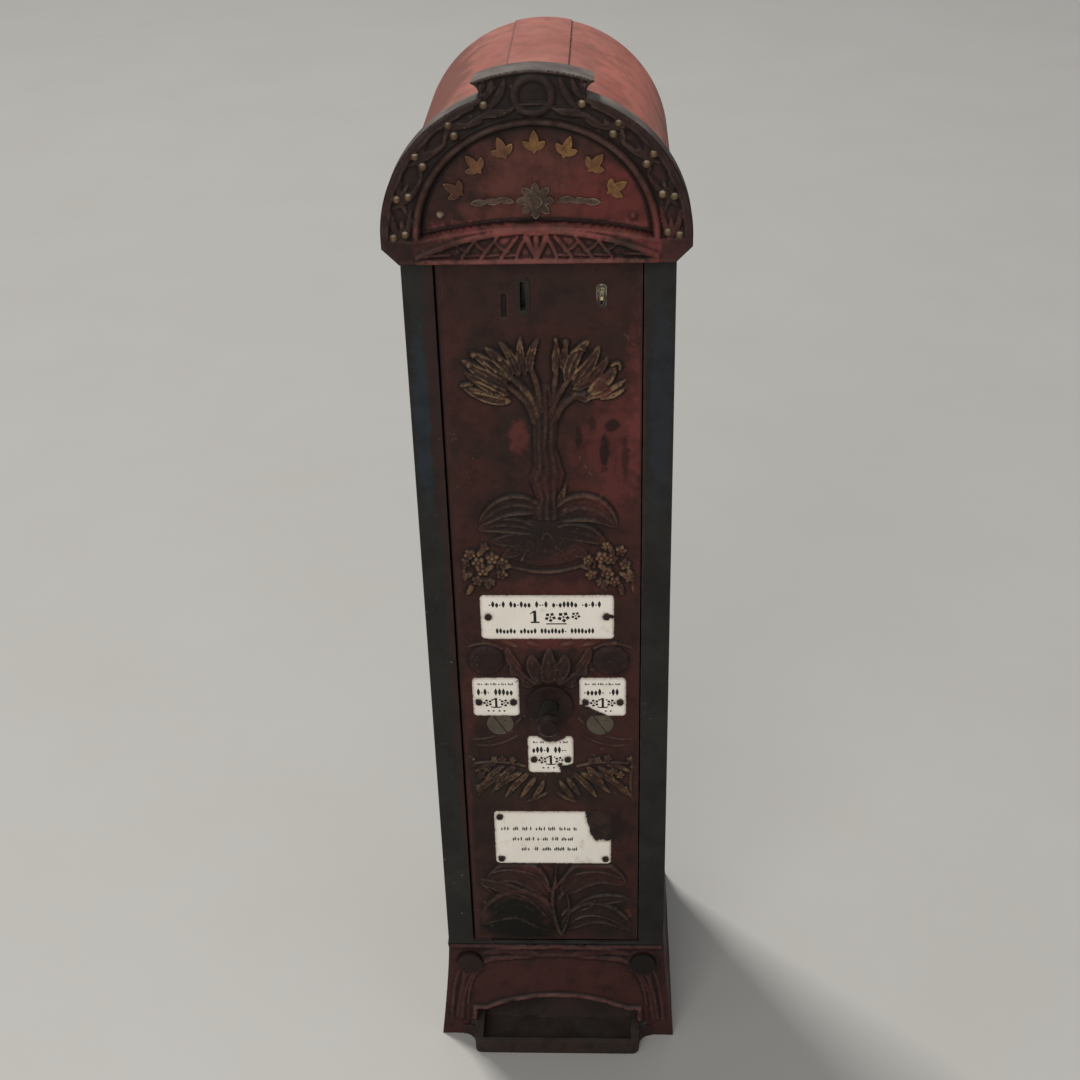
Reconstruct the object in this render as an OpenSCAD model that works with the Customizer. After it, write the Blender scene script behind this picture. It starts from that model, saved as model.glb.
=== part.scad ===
// Cast-iron slot machine for chocolate: a tall sheet-steel case with a barrel roof, a cast pediment,
// a relief-cast door with enamel plates, a push button, and a delivery tray in the foot.
// Millimetres. +Z is up, the front faces -Y. The origin is the middle of the case's footprint on the floor.
// Depths named "yf" are measured backwards from the front plane of the case.

/* [Case] */
// Width of the case over its side walls
case_w = 240; // [220:1:280]
// Depth of the case from its front plane to its back
case_d = 260; // [240:1:320]
// Height at which the side walls end and the barrel roof starts
spring_z = 960; // [930:1:1060]
// Thickness of the wall sheets
wall_t = 2; // [1.5:0.1:3]
// Thickness of the roof sheet
roof_t = 1.5; // [1:0.1:2.5]
// Width of the raised strip along the top of the roof
ridge_w = 54; // [30:1:80]
// Thickness of the raised strip on the roof
ridge_t = 1.2; // [0.8:0.1:2]
// Thickness of the flat front frame round the door
frame_t = 4; // [3:0.5:6]
// Width of the frame's side strips
strip_w = 28; // [24:1:34]

/* [Pediment] */
// Radius of the pediment's round outline
head_r = 132.5; // [125:0.5:145]
// Height of the pediment's arch above the spring of the roof
head_rise = 126; // [124:0.5:134]
// How far the pediment stands out from the front plane
head_t = 22; // [16:1:30]
// How far the pediment reaches below the spring of the roof
head_drop = 23; // [18:1:30]
// Width of the raised outer rim of the pediment
rim_w = 6.5; // [4:0.5:9]
// Outer radius of the raised ring round the half-moon field
field_r = 104; // [98:0.5:110]
// Half the width of the crest's cap
cap_w = 50; // [44:0.5:56]
// Height of the crest's cap above the spring of the roof
cap_z = 141; // [136:0.5:150]
// How far the cap reaches back over the roof
cap_back = 8; // [4:0.5:12]
// Number of gilt leaves in the half-moon field
gilt_leaves = 7; // [5:1:9]

/* [Door] */
// Thickness of the door's cast plate
door_t = 6; // [5:0.5:8]
// Depth of the rim round the back of the door
door_rim = 14; // [12:1:18]
// Gap between the door and its frame
door_gap = 1.2; // [0.8:0.1:2]
// Radius of the hinge pins
pin_r = 2.5; // [2:0.1:3]
// Height of the tree relief above the plate
relief_h = 5; // [3:0.5:7]

/* [Plates] */
// Width of the upper enamel plate
top_plate_w = 131; // [110:1:140]
// Height of the upper enamel plate
top_plate_h = 51; // [40:1:60]
// Side of the small enamel plates
small_plate = 47; // [40:1:50]
// Width of the lower enamel plate
low_plate_w = 124; // [110:1:140]
// Height of the lower enamel plate
low_plate_h = 72; // [60:1:80]
// Thickness of the enamel plates
plate_t = 1.6; // [1:0.1:2.5]
// Radius of the plate screws' heads
screw_r = 3.3; // [3:0.1:5]

/* [Button] */
// Height of the push button's axis above the floor
button_z = 459; // [440:1:480]
// Radius of the push button's head
button_r = 13; // [11:0.1:16]
// How far the head stands out from the front plane
button_out = 41; // [36:1:44]
// Travel of the push button
button_travel = 18; // [14:1:20]
// Radius of the button's stem where it shows
stem_r = 9; // [7.5:0.25:9.25]
// Radius of the round boss behind the button
boss_r = 24; // [20:0.5:28]

/* [Slots] */
// Width of the coin slot
slot_w = 4.5; // [3.5:0.1:6]
// Height of the coin slot
slot_h = 28; // [22:1:32]
// Radius of the two large slotted screws
clamp_r = 13.4; // [11:0.1:15]

/* [Packets] */
// Distance from one packet column to the next
pitch = 53; // [50:0.5:56]
// Width of a packet
packet_w = 44; // [38:0.5:45]
// Depth of a packet
packet_d = 84; // [70:1:90]
// Thickness of a packet
packet_h = 16; // [10:1:20]
// Packets left in each column, from left to right, above the lowest one
packets_left = [23, 17, 20];

/* [Foot] */
// Height of the cast foot
foot_h = 128; // [110:1:132]
// How far the foot flares out at the floor
flare = 12.5; // [8:0.5:18]
// Height of the tray's rim
tray_h = 18; // [14:1:24]
// How far the tray stands out from the front plane
tray_out = 41; // [34:1:48]
// Half the width of the tray's inside
tray_in = 84; // [70:1:88]

/* [Hidden] */
$fn = 96;

// Driving values worked out from the sizes above
front_y = -case_d / 2;
back_y = case_d / 2;
half_w = case_w / 2;
gap = 0.3;
run = 0.05;
open_x = half_w - strip_w;
open_low = foot_h + 3;
open_high = spring_z - 19;
hinge_sheet = 3;
door_low = open_low + hinge_sheet + 2 * door_gap;
door_high = open_high - hinge_sheet - 2 * door_gap;
door_half = open_x - door_gap;
axis_in = 4.5;
axis_x = axis_in - door_half;

// Rocker: the button pushes its upper arm back, and its lower arms pull the ejector forward
swing = 15;
upper_arm = button_travel / (2 * sin(swing));
lower_arm = 92;
rocker_z = button_z - upper_arm * cos(swing);
rocker_yf = 76;
arm_w = 6;
roller_r = 5;
shaft_r = 5;
link_r = 3;
rail_w = 4;
arm_t = 3;
link_x = pitch / 2 - (arm_t + gap) / 2;
arm_x = pitch / 2 + (rail_w + gap) / 2;
link_yf = rocker_yf + lower_arm * sin(swing);
link_low = rocker_z - lower_arm;
link_high = rocker_z - lower_arm * cos(swing);
eject_travel = 2 * lower_arm * sin(swing);
stem_end = rocker_yf - upper_arm * sin(swing) - roller_r - gap;

// Shelf, packets and ejector
slide_top = link_high + link_r + 4;
shelf_low = slide_top + gap;
shelf_t = 3;
shelf_z = shelf_low + shelf_t;
shelf_yf = 106;
packet_yf = shelf_yf + 1;
finger_yf = packet_yf + packet_d + gap;
column_wall = 1;
column_top = 900;
chute_x = 86;
fixing_x = 80;
fixing_low = 250;
fixing_high = 850;
fixing_r = 4;

// Places of the enamel plates, middle x and middle z
top_plate_at = [0, 565];
left_plate_at = [-54, 469];
right_plate_at = [54, 469];
middle_plate_at = [0, 396];
low_plate_at = [0, 284];
side_screw_x = small_plate / 2 - 6;
side_screw_drop = 6;
clamp_x = 51;
clamp_z = 434.5;
slot_at = [-14.2, 900];
key_at = [55, 905];

// A plate that stands upright: its outline is drawn in X and Z, and its depth runs back from yf
module slab(yf, depth) {
    translate([0, front_y + yf + depth, 0]) rotate([90, 0, 0]) linear_extrude(depth) children();
}

// A round bar that runs from front to back
module rod(at, yf, depth, r) {
    slab(yf, depth) translate(at) circle(r = r);
}

// A rectangle between two heights and two sides
module field(x0, x1, z0, z1) {
    translate([x0, z0]) square([x1 - x0, z1 - z0]);
}

// A rectangle about its middle, with round corners
module rounded(at, w, h, r) {
    translate(at) {
        square([w - 2 * r, h], center = true);
        square([w, h - 2 * r], center = true);
        for (sx = [-1, 1], sz = [-1, 1]) translate([sx * (w / 2 - r), sz * (h / 2 - r)]) circle(r = r);
    }
}

// A pointed leaf that grows from the origin along +Y of its plane
module leaf(len, wid) {
    r = (len * len / 4 + wid * wid / 4) / wid;
    intersection() {
        translate([r - wid / 2, len / 2]) circle(r = r);
        translate([wid / 2 - r, len / 2]) circle(r = r);
    }
}

// A leaf placed by its foot, its direction in degrees from upright, its length and its width
module leaf_at(at, turn, len, wid) {
    translate(at) rotate(-turn) leaf(len, wid);
}

// A five-petalled blossom
module blossom(at, r) {
    translate(at) {
        circle(r = r * 0.5);
        for (i = [0:4]) rotate(i * 72) translate([0, r * 0.6]) circle(r = r * 0.42);
    }
}

// Foot

// How far the foot stands out from the case at height z
function foot_out(z) = flare * pow((foot_h - z) / foot_h, 1.3);
foot_steps = 10;
foot_zs = [for (i = [0:foot_steps]) foot_h * i / foot_steps];
lip_low = 34;
lip_rise = 18.5;
lip_half = 75;
lip_r = (lip_half * lip_half + lip_rise * lip_rise) / (2 * lip_rise);
foot_wall = 9;
tray_wall = 9;
apron_x = 104;
boss_at = [97, 104];
boss_disc_r = 14;
boss_seat = foot_out(boss_at[1] - boss_disc_r) + 0.4;

// The foot's flared outside, grown forward by some millimetres
module foot_outside(grow) {
    intersection() {
        slab(-flare - grow - 1, case_d + flare + grow + 1) polygon(concat(
            [for (z = foot_zs) [half_w + foot_out(z), z]],
            [for (i = [foot_steps:-1:0]) [-half_w - foot_out(foot_zs[i]), foot_zs[i]]]));
        translate([-half_w - flare, 0, 0]) rotate([90, 0, 90]) linear_extrude(case_w + 2 * flare) polygon(concat(
            [for (z = foot_zs) [front_y - foot_out(z) - grow, z]],
            [[back_y - wall_t, foot_h], [back_y - wall_t, 0]]));
    }
}

// The arched way out above the tray
module delivery_mouth() {
    field(-tray_in, tray_in, -1, lip_low);
    field(-tray_in - tray_wall - gap, tray_in + tray_wall + gap, -1, tray_h + gap);
    intersection() {
        translate([0, lip_low + lip_rise - lip_r]) circle(r = lip_r);
        field(-lip_half, lip_half, lip_low - 1, lip_low + lip_rise + 1);
    }
}

// The outline of the apron's arched border
module apron(inset) {
    r = 340;
    intersection() {
        translate([0, 116 - inset - r]) circle(r = r);
        field(inset - apron_x, apron_x - inset, 24, 120);
    }
}

module foot_casting() color([0.24, 0.14, 0.13]) {
    difference() {
        union() {
            foot_outside(0);
            intersection() {
                foot_outside(2.5);
                slab(-flare - 5, flare + 10) difference() {
                    apron(0);
                    apron(5);
                    for (s = [-1, 1]) translate([s * boss_at[0], boss_at[1]]) circle(r = boss_disc_r + 1);
                }
            }
            for (s = [-1, 1]) rod([s * boss_at[0], boss_at[1]], -boss_seat, foot_wall, boss_disc_r);
            translate([-half_w, front_y, foot_h - 3]) rotate([0, 90, 0]) cylinder(h = case_w, r = 3);
        }
        translate([-half_w + foot_wall + 1, front_y + foot_wall, -1])
            cube([case_w - 2 * foot_wall - 2, case_d, foot_h + 2]);
        slab(-flare - 6, flare + 20) delivery_mouth();
        for (s = [-1, 1]) rod([s * boss_at[0], boss_at[1]], -flare, 40, 4);
    }
}

module foot_bosses() color([0.16, 0.13, 0.11]) {
    for (s = [-1, 1]) {
        rod([s * boss_at[0], boss_at[1]], -boss_seat - 5, 5, boss_disc_r);
        rod([s * boss_at[0], boss_at[1]], -boss_seat - 1, boss_seat + foot_wall + 4, 3.9);
    }
}

module tray() color([0.12, 0.12, 0.1]) {
    deep = tray_out + 10;
    side = tray_in + tray_wall;
    cove = 15;
    cove_y = front_y - flare - gap;
    difference() {
        union() {
            translate([-side, front_y - tray_out + 8, 0]) cube([2 * side, deep - 8, tray_h]);
            translate([-side + 8, front_y - tray_out, 0]) cube([2 * side - 16, 9, tray_h]);
            for (s = [-1, 1]) translate([s * (side - 8), front_y - tray_out + 8, 0]) cylinder(h = tray_h, r = 8);
            for (s = [-1, 1]) difference() {
                translate([s * (side + cove / 2 - 0.5), cove_y - cove / 2, 0])
                    translate([0, 0, tray_h / 2 - 2]) cube([cove + 1, cove, tray_h - 4], center = true);
                translate([s * (side + cove), cove_y - cove, -1]) cylinder(h = tray_h + 2, r = cove - 0.6);
            }
        }
        translate([-tray_in, front_y - tray_out + 6, 3]) cube([2 * tray_in, deep, tray_h]);
    }
}

module floor_plate() color([0.2, 0.2, 0.2]) {
    inner = half_w - foot_wall - 1 - gap;
    translate([-inner, front_y + 10 + gap, 0])
        cube([2 * inner, case_d - 10 - wall_t - 2 * gap, 3]);
}

// Case

module case_outline(r) {
    field(-half_w, half_w, foot_h, spring_z);
    intersection() {
        translate([0, spring_z]) circle(r = r);
        field(-r, r, spring_z - 1, spring_z + r);
    }
}

module front_frame() color([0.1, 0.12, 0.12]) {
    difference() {
        slab(0, frame_t) case_outline(half_w - roof_t - gap);
        slab(-1, frame_t + 2) field(-open_x, open_x, open_low, open_high);
        for (at = pediment_bolt_at) rod(at, -1, frame_t + 2, 3.2);
    }
}

module side_wall(s) {
    color([0.12, 0.14, 0.14]) translate([s * (half_w - wall_t / 2), front_y + frame_t + (case_d - frame_t - wall_t) / 2,
        (foot_h + spring_z) / 2]) cube([wall_t, case_d - frame_t - wall_t, spring_z - foot_h], center = true);
}

module left_wall() side_wall(-1);

module right_wall() side_wall(1);

module back_plate() color([0.12, 0.14, 0.14]) {
    difference() {
        slab(case_d - wall_t, wall_t) {
            case_outline(half_w - roof_t - gap);
            field(-half_w, half_w, 0, foot_h + 1);
        }
        for (x = [-fixing_x, fixing_x], z = [fixing_low, fixing_high])
            rod([x, z], case_d - wall_t - 1, wall_t + 2, fixing_r);
    }
}

angle_t = 2;
angle_w = 14;
module corner_angles() color([0.2, 0.21, 0.21]) {
    reach = half_w - wall_t;
    for (s = [-1, 1], y = [front_y + frame_t, back_y - wall_t - angle_w]) {
        translate([s * (reach - angle_t / 2), y + angle_w / 2, (foot_h + spring_z) / 2])
            cube([angle_t, angle_w, spring_z - foot_h - 2], center = true);
    }
    for (s = [-1, 1], y = [front_y + frame_t + angle_t / 2, back_y - wall_t - angle_t / 2]) {
        translate([s * (reach - angle_w / 2), y, (foot_h + spring_z) / 2])
            cube([angle_w, angle_t, spring_z - foot_h - 2], center = true);
    }
}

// A piece of a half ring about the roof's axis, from r0 to r1, over the wedge that is drawn as a child
module roof_ring(r0, r1, yf, depth) {
    slab(yf, depth) intersection() {
        translate([0, spring_z]) difference() {
            circle(r = r1);
            circle(r = r0);
        }
        children();
    }
}

module roof_hood() color([0.72, 0.42, 0.38]) {
    roof_ring(half_w - roof_t, half_w, 0, case_d) field(-half_w, half_w, spring_z, spring_z + half_w + 1);
}

module roof_ridge() color([0.74, 0.45, 0.41]) {
    roof_ring(half_w, half_w + ridge_t, 0, case_d)
        field(-ridge_w / 2, ridge_w / 2, spring_z + half_w / 2, spring_z + half_w + 10);
}

// Pediment

pediment_bolt_at = [for (a = [-60, -28, 28, 60]) [112 * sin(a), spring_z + 112 * cos(a)]];
corner_cut = 15;
ring_w = 4;
band_z = 11;
band_w = 5;
border_depth = 3;
field_depth = 9;
head_low = spring_z - head_drop;
neck_r = 8.5;
neck_z = 122;
cap_arc = 136;
cap_wall = 2;
cap_lip = 12;
band_r = (field_r * field_r + 13 * 13) / 26;

module crest_outline() {
    difference() {
        intersection() {
            field(-cap_w, cap_w, spring_z + 100, spring_z + cap_z);
            translate([0, spring_z + cap_z - cap_arc]) circle(r = cap_arc);
        }
        for (s = [-1, 1]) translate([s * (cap_w + 2), spring_z + neck_z]) circle(r = neck_r);
    }
}

// The flattened arch of the head, from a height up
module head_arch(inset, low) {
    intersection() {
        translate([0, spring_z]) scale([1, (head_rise - inset) / (head_r - inset)]) circle(r = head_r - inset);
        field(-head_r, head_r, low, spring_z + head_r);
    }
}

module pediment_outline() {
    difference() {
        head_arch(0, head_low);
        for (s = [-1, 1]) translate([s * (head_r + 0.5), head_low]) rotate(45)
            square(corner_cut * sqrt(2), center = true);
    }
    crest_outline();
}

module disc_above(r, low) {
    intersection() {
        translate([0, spring_z]) circle(r = r);
        field(-r, r, low, spring_z + r);
    }
}

// Everything above the raised arched band that closes the half-moon field below
module above_band(drop) {
    difference() {
        field(-head_r, head_r, spring_z - 6, spring_z + head_r);
        translate([0, spring_z + band_z - drop - band_r]) circle(r = band_r);
    }
}

module half_moon() {
    intersection() {
        disc_above(field_r - ring_w, spring_z - 4);
        above_band(0);
    }
}

module border_field() {
    difference() {
        union() {
            head_arch(rim_w, spring_z - 2);
            intersection() {
                field(-cap_w, cap_w, spring_z + 108, spring_z + cap_z);
                offset(delta = -cap_wall) crest_outline();
            }
        }
        disc_above(field_r, spring_z - 3);
    }
}

module lower_field() {
    intersection() {
        difference() {
            field(-108, 108, head_low + 4, spring_z + band_z);
            above_band(band_w);
        }
        disc_above(108, head_low);
    }
}

// Each bead by its angle from upright and its place between the ring, 0, and the rim, 1
bead_places = [[19.5, 0.72], [35.6, 0.7], [36.5, 0.25], [54.1, 0.8], [55.9, 0.36], [70.8, 0.38], [73.2, 0.78],
    [89.3, 0.77], [87.9, 0.32]];
function border_r(share) = field_r + share * (head_r - rim_w - field_r);
bead_at = [
    for (s = [-1, 1], p = bead_places) [s * border_r(p[1]) * sin(p[0]), spring_z + border_r(p[1]) * cos(p[0])]
];
bead_r = 3.2;
pad_r = 4.2;
pad_out = 1.5;

// The leaves that wind round the border, mirrored about the middle
module border_leaves() {
    mid = (head_r - rim_w + field_r) / 2;
    for (s = [-1, 1], a = [12:13:90]) translate([0, spring_z]) rotate(-s * a) translate([0, mid])
        leaf_at([-s * 9, -3], s * 68, 19, 9);
}

crest_ring = [19.6, 15];
crest_hole = [11.5, 9];

module crest_relief() {
    translate([0, spring_z + 120]) difference() {
        scale([crest_ring[0] / crest_ring[1], 1]) circle(r = crest_ring[1]);
        scale([crest_hole[0] / crest_hole[1], 1]) circle(r = crest_hole[1]);
    }
    for (s = [-1, 1], turn = [72, 98]) leaf_at([s * 17, spring_z + 119], s * turn, 23, 8);
}

module lower_relief() {
    for (s = [-1, 1]) {
        for (i = [0:2]) leaf_at([s * (22 + 17 * i), head_low + 8], s * 58, 19, 7);
        rounded([s * 88, head_low + 14], 28, 5, 2);
    }
    polygon([[-15, head_low + 7], [15, head_low + 7], [0, head_low + 21]]);
}

module pediment() color([0.3, 0.14, 0.13]) {
    slab(-1, cap_back + 1) intersection() {
        crest_outline();
        field(-cap_w, cap_w, spring_z + cap_z - cap_lip, spring_z + cap_z);
    }
    difference() {
        slab(-head_t, head_t) pediment_outline();
        slab(-head_t - 1, border_depth + 1) border_field();
        slab(-head_t - 1, border_depth + 1) lower_field();
        slab(-head_t - 1, field_depth + 1) half_moon();
        slab(-head_t - 1, border_depth - pad_out + 1) for (at = bead_at) translate(at) circle(r = bead_r + gap);
        slab(-head_t + field_depth + 5, head_t) disc_above(field_r - 2, head_low + 10);
        for (at = pediment_bolt_at) rod(at, -10, 20, 3.1);
    }
    slab(border_depth - head_t - 2, 2.1) difference() {
        union() {
            border_leaves();
            lower_relief();
        }
        for (at = bead_at) translate(at) circle(r = pad_r + gap);
    }
    slab(-head_t - 2, border_depth + 2.1) difference() {
        crest_relief();
        for (at = bead_at) translate(at) circle(r = pad_r + gap);
    }
    for (at = bead_at) rod(at, border_depth - head_t - pad_out, pad_out + 0.1, pad_r);
}

module pediment_beads() color([0.72, 0.52, 0.2]) {
    yf = border_depth - head_t - pad_out;
    for (at = bead_at) intersection() {
        translate([at[0], front_y + yf, at[1]]) sphere(r = bead_r);
        translate([at[0] - 5, front_y + yf - 5, at[1] - 5]) cube([10, 5, 10]);
    }
}

// Gilt leaves in an arc, each a pair of leaves crossed by a short bar
module gilt_leaves() color([0.72, 0.52, 0.2]) {
    step = 120 / (gilt_leaves - 1);
    slab(field_depth - head_t - 3, 3) for (i = [0:gilt_leaves - 1])
        translate([0, spring_z + 2]) rotate(60 - i * step) translate([0, 79]) {
            leaf_at([0, -10], 0, 20, 8);
            leaf_at([0, -7], 52, 12, 6);
            leaf_at([0, -7], -52, 12, 6);
        }
}

module rosette() color([0.55, 0.5, 0.42]) {
    at = [0, spring_z + 31];
    yf = field_depth - head_t;
    slab(yf - 2.5, 2.5) translate(at) {
        circle(r = 8);
        for (i = [0:7]) rotate(i * 45) leaf_at([0, 4], 0, 12, 7);
    }
    rod(at, yf - 6, 3.5, 5.5);
    slab(yf - 2, 2) for (s = [-1, 1], i = [0:2]) leaf_at([s * (18 + 11 * i), at[1] - 1], s * (78 + 8 * i), 15, 6);
}

module pediment_bolts() color([0.25, 0.25, 0.25]) {
    for (at = pediment_bolt_at) {
        rod(at, -9, 9 + frame_t, 3);
        slab(frame_t, 4) translate(at) circle(r = 6, $fn = 6);
    }
}

// Hinge and lock keeper

module hinge_plate(z) {
    reach = half_w - wall_t - angle_w - 1;
    difference() {
        union() {
            translate([gap - open_x, front_y + 0.5, z]) cube([20, door_rim + 5, hinge_sheet]);
            translate([-reach, front_y + frame_t, z]) cube([reach - open_x + 1, door_rim + 1.5, hinge_sheet]);
            translate([-reach, front_y + frame_t, z]) cube([reach - open_x - 1, 3, 18 + hinge_sheet]);
        }
        translate([axis_x, front_y + axis_in, z - 1]) cylinder(h = hinge_sheet + 2, r = pin_r);
    }
}

module hinge_plates() color([0.22, 0.22, 0.22]) {
    hinge_plate(door_high + door_gap);
    hinge_plate(door_low - door_gap - hinge_sheet);
}

pin_in = 14;
module hinge_pins() color([0.5, 0.5, 0.48]) {
    h = pin_in + door_gap + hinge_sheet;
    for (z = [door_high - pin_in, door_low - door_gap - hinge_sheet])
        translate([axis_x, front_y + axis_in, z]) cylinder(h = h, r = pin_r);
}

cam_yf = 16 + gap;
cam_t = 3;
cam_reach = 46;
module lock_keeper() color([0.3, 0.3, 0.3]) {
    slab(frame_t, cam_yf - gap - frame_t) field(open_x + 2.5, open_x + 11, key_at[1] - 12, key_at[1] + 12);
}

// Door

module plate_outline(at, w, h) {
    rounded(at, w, h, 4);
}

// The flat places that the relief leaves free
module flat_places() {
    margin = 3;
    plate_outline(top_plate_at, top_plate_w + margin, top_plate_h + margin);
    plate_outline(left_plate_at, small_plate + margin, small_plate + margin);
    plate_outline(right_plate_at, small_plate + margin, small_plate + margin);
    plate_outline(middle_plate_at, small_plate + margin, small_plate + margin);
    plate_outline(low_plate_at, low_plate_w + margin, low_plate_h + margin);
    for (s = [-1, 1]) translate([s * clamp_x, clamp_z]) circle(r = clamp_r + 1.5);
    translate([0, button_z]) circle(r = boss_r + 0.5);
    rounded(slot_at, 14, slot_h + 10, 4);
    rounded([key_at[0], key_at[1] - 5], 12, 26, 4);
}

// The tree's trunk, wavy and widest at the root
module trunk() {
    zs = [for (i = [0:12]) 676 + i * 11];
    function mid(z) = 4 * sin((z - 676) * 2.4);
    function half(z) = 9 + 12 * pow((808 - z) / 132, 3);
    polygon(concat(
        [for (z = zs) [mid(z) + half(z), z]],
        [for (i = [12:-1:0]) [mid(zs[i]) - half(zs[i]), zs[i]]]));
}

// Branches and the crown of leaves, one side
module crown_side() {
    for (i = [0:4]) leaf_at([5, 792 + 5 * i], 28 + 17 * i, 66 - 4 * i, 9);
    for (i = [0:5]) leaf_at([30 + 7 * i, 858 - 8 * i], 30 + 22 * i, 24, 12);
    for (i = [0:3]) leaf_at([26 + 12 * i, 806 + 3 * i], 100 - 14 * i, 22, 11);
}

// Big leaves and ferns round the root, one side
module root_side() {
    leaf_at([10, 690], 112, 44, 34);
    leaf_at([8, 684], 148, 50, 18);
    leaf_at([34, 660], 96, 44, 16);
    leaf_at([20, 648], 122, 40, 14);
    leaf_at([14, 640], 152, 30, 13);
    for (i = [0:3]) leaf_at([48 + 7 * i, 636 - 3 * i], 40 + 30 * i, 20, 10);
}

// Stems and leaves beside the plates, one side
module stem_side() {
    leaf_at([20, 500], 66, 30, 11);
    leaf_at([64, 434], 160, 44, 13);
    leaf_at([58, 400], 200, 40, 12);
    leaf_at([34, 380], 140, 34, 12);
    leaf_at([12, 362], 112, 44, 12);
    leaf_at([6, 346], 82, 48, 11);
}

// Broad leaves at the foot of the door, one side
module bottom_side() {
    leaf_at([4, 146], 24, 84, 24);
    leaf_at([8, 146], 52, 78, 22);
    leaf_at([12, 146], 78, 66, 18);
    leaf_at([34, 178], 20, 52, 16);
    leaf_at([58, 200], 342, 36, 13);
}

module low_relief() {
    for (s = [0, 1]) mirror([s, 0]) {
        crown_side();
        root_side();
        stem_side();
        bottom_side();
    }
    leaf_at([0, button_z + boss_r - 3], 0, 40, 17);
    for (s = [-1, 1]) leaf_at([s * 3, button_z + boss_r - 3], s * 44, 30, 12);
}

module high_relief() {
    trunk();
    for (s = [0, 1]) mirror([s, 0]) {
        for (p = [[34, 842], [50, 848], [62, 836], [46, 828], [32, 822], [56, 816], [68, 820]]) blossom(p, 10);
        for (p = [[54, 628], [66, 618], [60, 606]]) blossom(p, 9);
        for (p = [[30, 356], [46, 340]]) blossom(p, 8);
        translate([63.5, 516.5]) circle(r = 17);
    }
}

module hinge_edge() {
    translate([-door_half, front_y, door_low]) difference() {
        cube([axis_in, axis_in, door_high - door_low]);
        translate([axis_in, axis_in, -1]) cylinder(h = door_high - door_low + 2, r = axis_in);
    }
}

module door_panel() color([0.32, 0.15, 0.14]) {
    difference() {
        union() {
            slab(0, door_t) field(-door_half, door_half, door_low, door_high);
            slab(door_t - 1, door_rim - door_t + 1) difference() {
                field(-door_half, door_half, door_low, door_high);
                field(10 - door_half, door_half - 8, door_low + 8, door_high - 8);
            }
            slab(-relief_h * 0.6, relief_h * 0.6 + 1) intersection() {
                difference() {
                    low_relief();
                    flat_places();
                }
                field(12 - door_half, door_half - 12, door_low + 3, door_high - 3);
            }
            slab(-relief_h, relief_h + 1) difference() {
                high_relief();
                flat_places();
            }
        }
        hinge_edge();
        for (z = [door_low - 1, door_high - pin_in - 1])
            translate([axis_x, front_y + axis_in, z]) cylinder(h = pin_in + 2, r = pin_r + run);
        slab(-10, 30) rounded(slot_at, slot_w + 4, slot_h + 4, 4);
        slab(-10, 12) rounded([slot_at[0] - 17, slot_at[1] - 9], 6, 24, 2.8);
        slab(-10, 30) rounded([key_at[0], key_at[1] - 5], 5, 15, 2.4);
        rod([0, button_z], -10, 30, sleeve_r);
        for (s = [-1, 1]) {
            rod([s * clamp_x, clamp_z], -10, 30, clamp_shank);
            rod([s * clamp_x, clamp_z], -10, 10 + clamp_head, clamp_r + 0.15);
        }
        for (at = screw_at) rod(at, -1, door_t + 2, 1.6);
        rod(lost_screw, -1, door_t + 2, 1.6);
    }
}

module coin_slot_rim() color([0.2, 0.16, 0.14]) {
    difference() {
        union() {
            slab(0, chute_yf) rounded(slot_at, slot_w + 3.6, slot_h + 3.6, 4);
            slab(-1.6, 1.6) rounded(slot_at, slot_w + 8, slot_h + 8, 5.5);
        }
        slab(-5, 30) rounded(slot_at, slot_w, slot_h, slot_w / 2 - 0.05);
    }
}

module keyhole_rim() color([0.7, 0.66, 0.56]) {
    slab(-1.2, 1.2) difference() {
        rounded([key_at[0], key_at[1] - 5], 9, 22, 4);
        translate(key_at) circle(r = 2.6);
        field(key_at[0] - 1.2, key_at[0] + 1.2, key_at[1] - 13, key_at[1]);
    }
}

low_screw_x = low_plate_w / 2 - 6;
low_screw_z = low_plate_h / 2 - 7;
screw_at = concat(
    [for (s = [-1, 1]) [top_plate_at[0] + s * (top_plate_w / 2 - 7.5), top_plate_at[1] + 1]],
    [for (at = [left_plate_at, right_plate_at, middle_plate_at], s = [-1, 1])
        [at[0] + s * side_screw_x, at[1] - side_screw_drop]],
    [for (p = [[-1, 1], [-1, -1], [1, -1]]) [low_plate_at[0] + p[0] * low_screw_x, low_plate_at[1] + p[1] * low_screw_z]]
);
lost_screw = [low_plate_at[0] + low_screw_x, low_plate_at[1] + low_screw_z];
enamel_t = 0.7;

// A steel plate under a layer of enamel, which is broken away down to the steel where the children are drawn
module enamel(at, w, h) {
    color([0.9, 0.88, 0.83]) difference() {
        slab(-plate_t, plate_t) difference() {
            plate_outline(at, w, h);
            for (p = concat(screw_at, [lost_screw])) translate(p) circle(r = 1.6);
        }
        slab(-plate_t - 1, enamel_t + 1) children();
    }
}

module top_plate() enamel(top_plate_at, top_plate_w, top_plate_h);

module left_plate() enamel(left_plate_at, small_plate, small_plate);

// The enamel's lower left corner is broken off along a slanted line
module right_plate() {
    low = right_plate_at[1] - small_plate / 2;
    left = right_plate_at[0] - small_plate / 2;
    enamel(right_plate_at, small_plate, small_plate)
        polygon([[left - 1, low + 15.5], [left + 14, low + 11.5], [left + 26, low + 6], [left + 41, low - 1],
            [left - 1, low - 1]]);
}

// The enamel's lower right corner is chipped
module middle_plate() {
    low = middle_plate_at[1] - small_plate / 2;
    right = middle_plate_at[0] + small_plate / 2;
    enamel(middle_plate_at, small_plate, small_plate)
        polygon([[right + 1, low + 13], [right - 6, low + 11], [right - 9, low + 8.5], [right - 14, low + 7],
            [right - 13, low - 1], [right + 1, low - 1]]);
}

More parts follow.
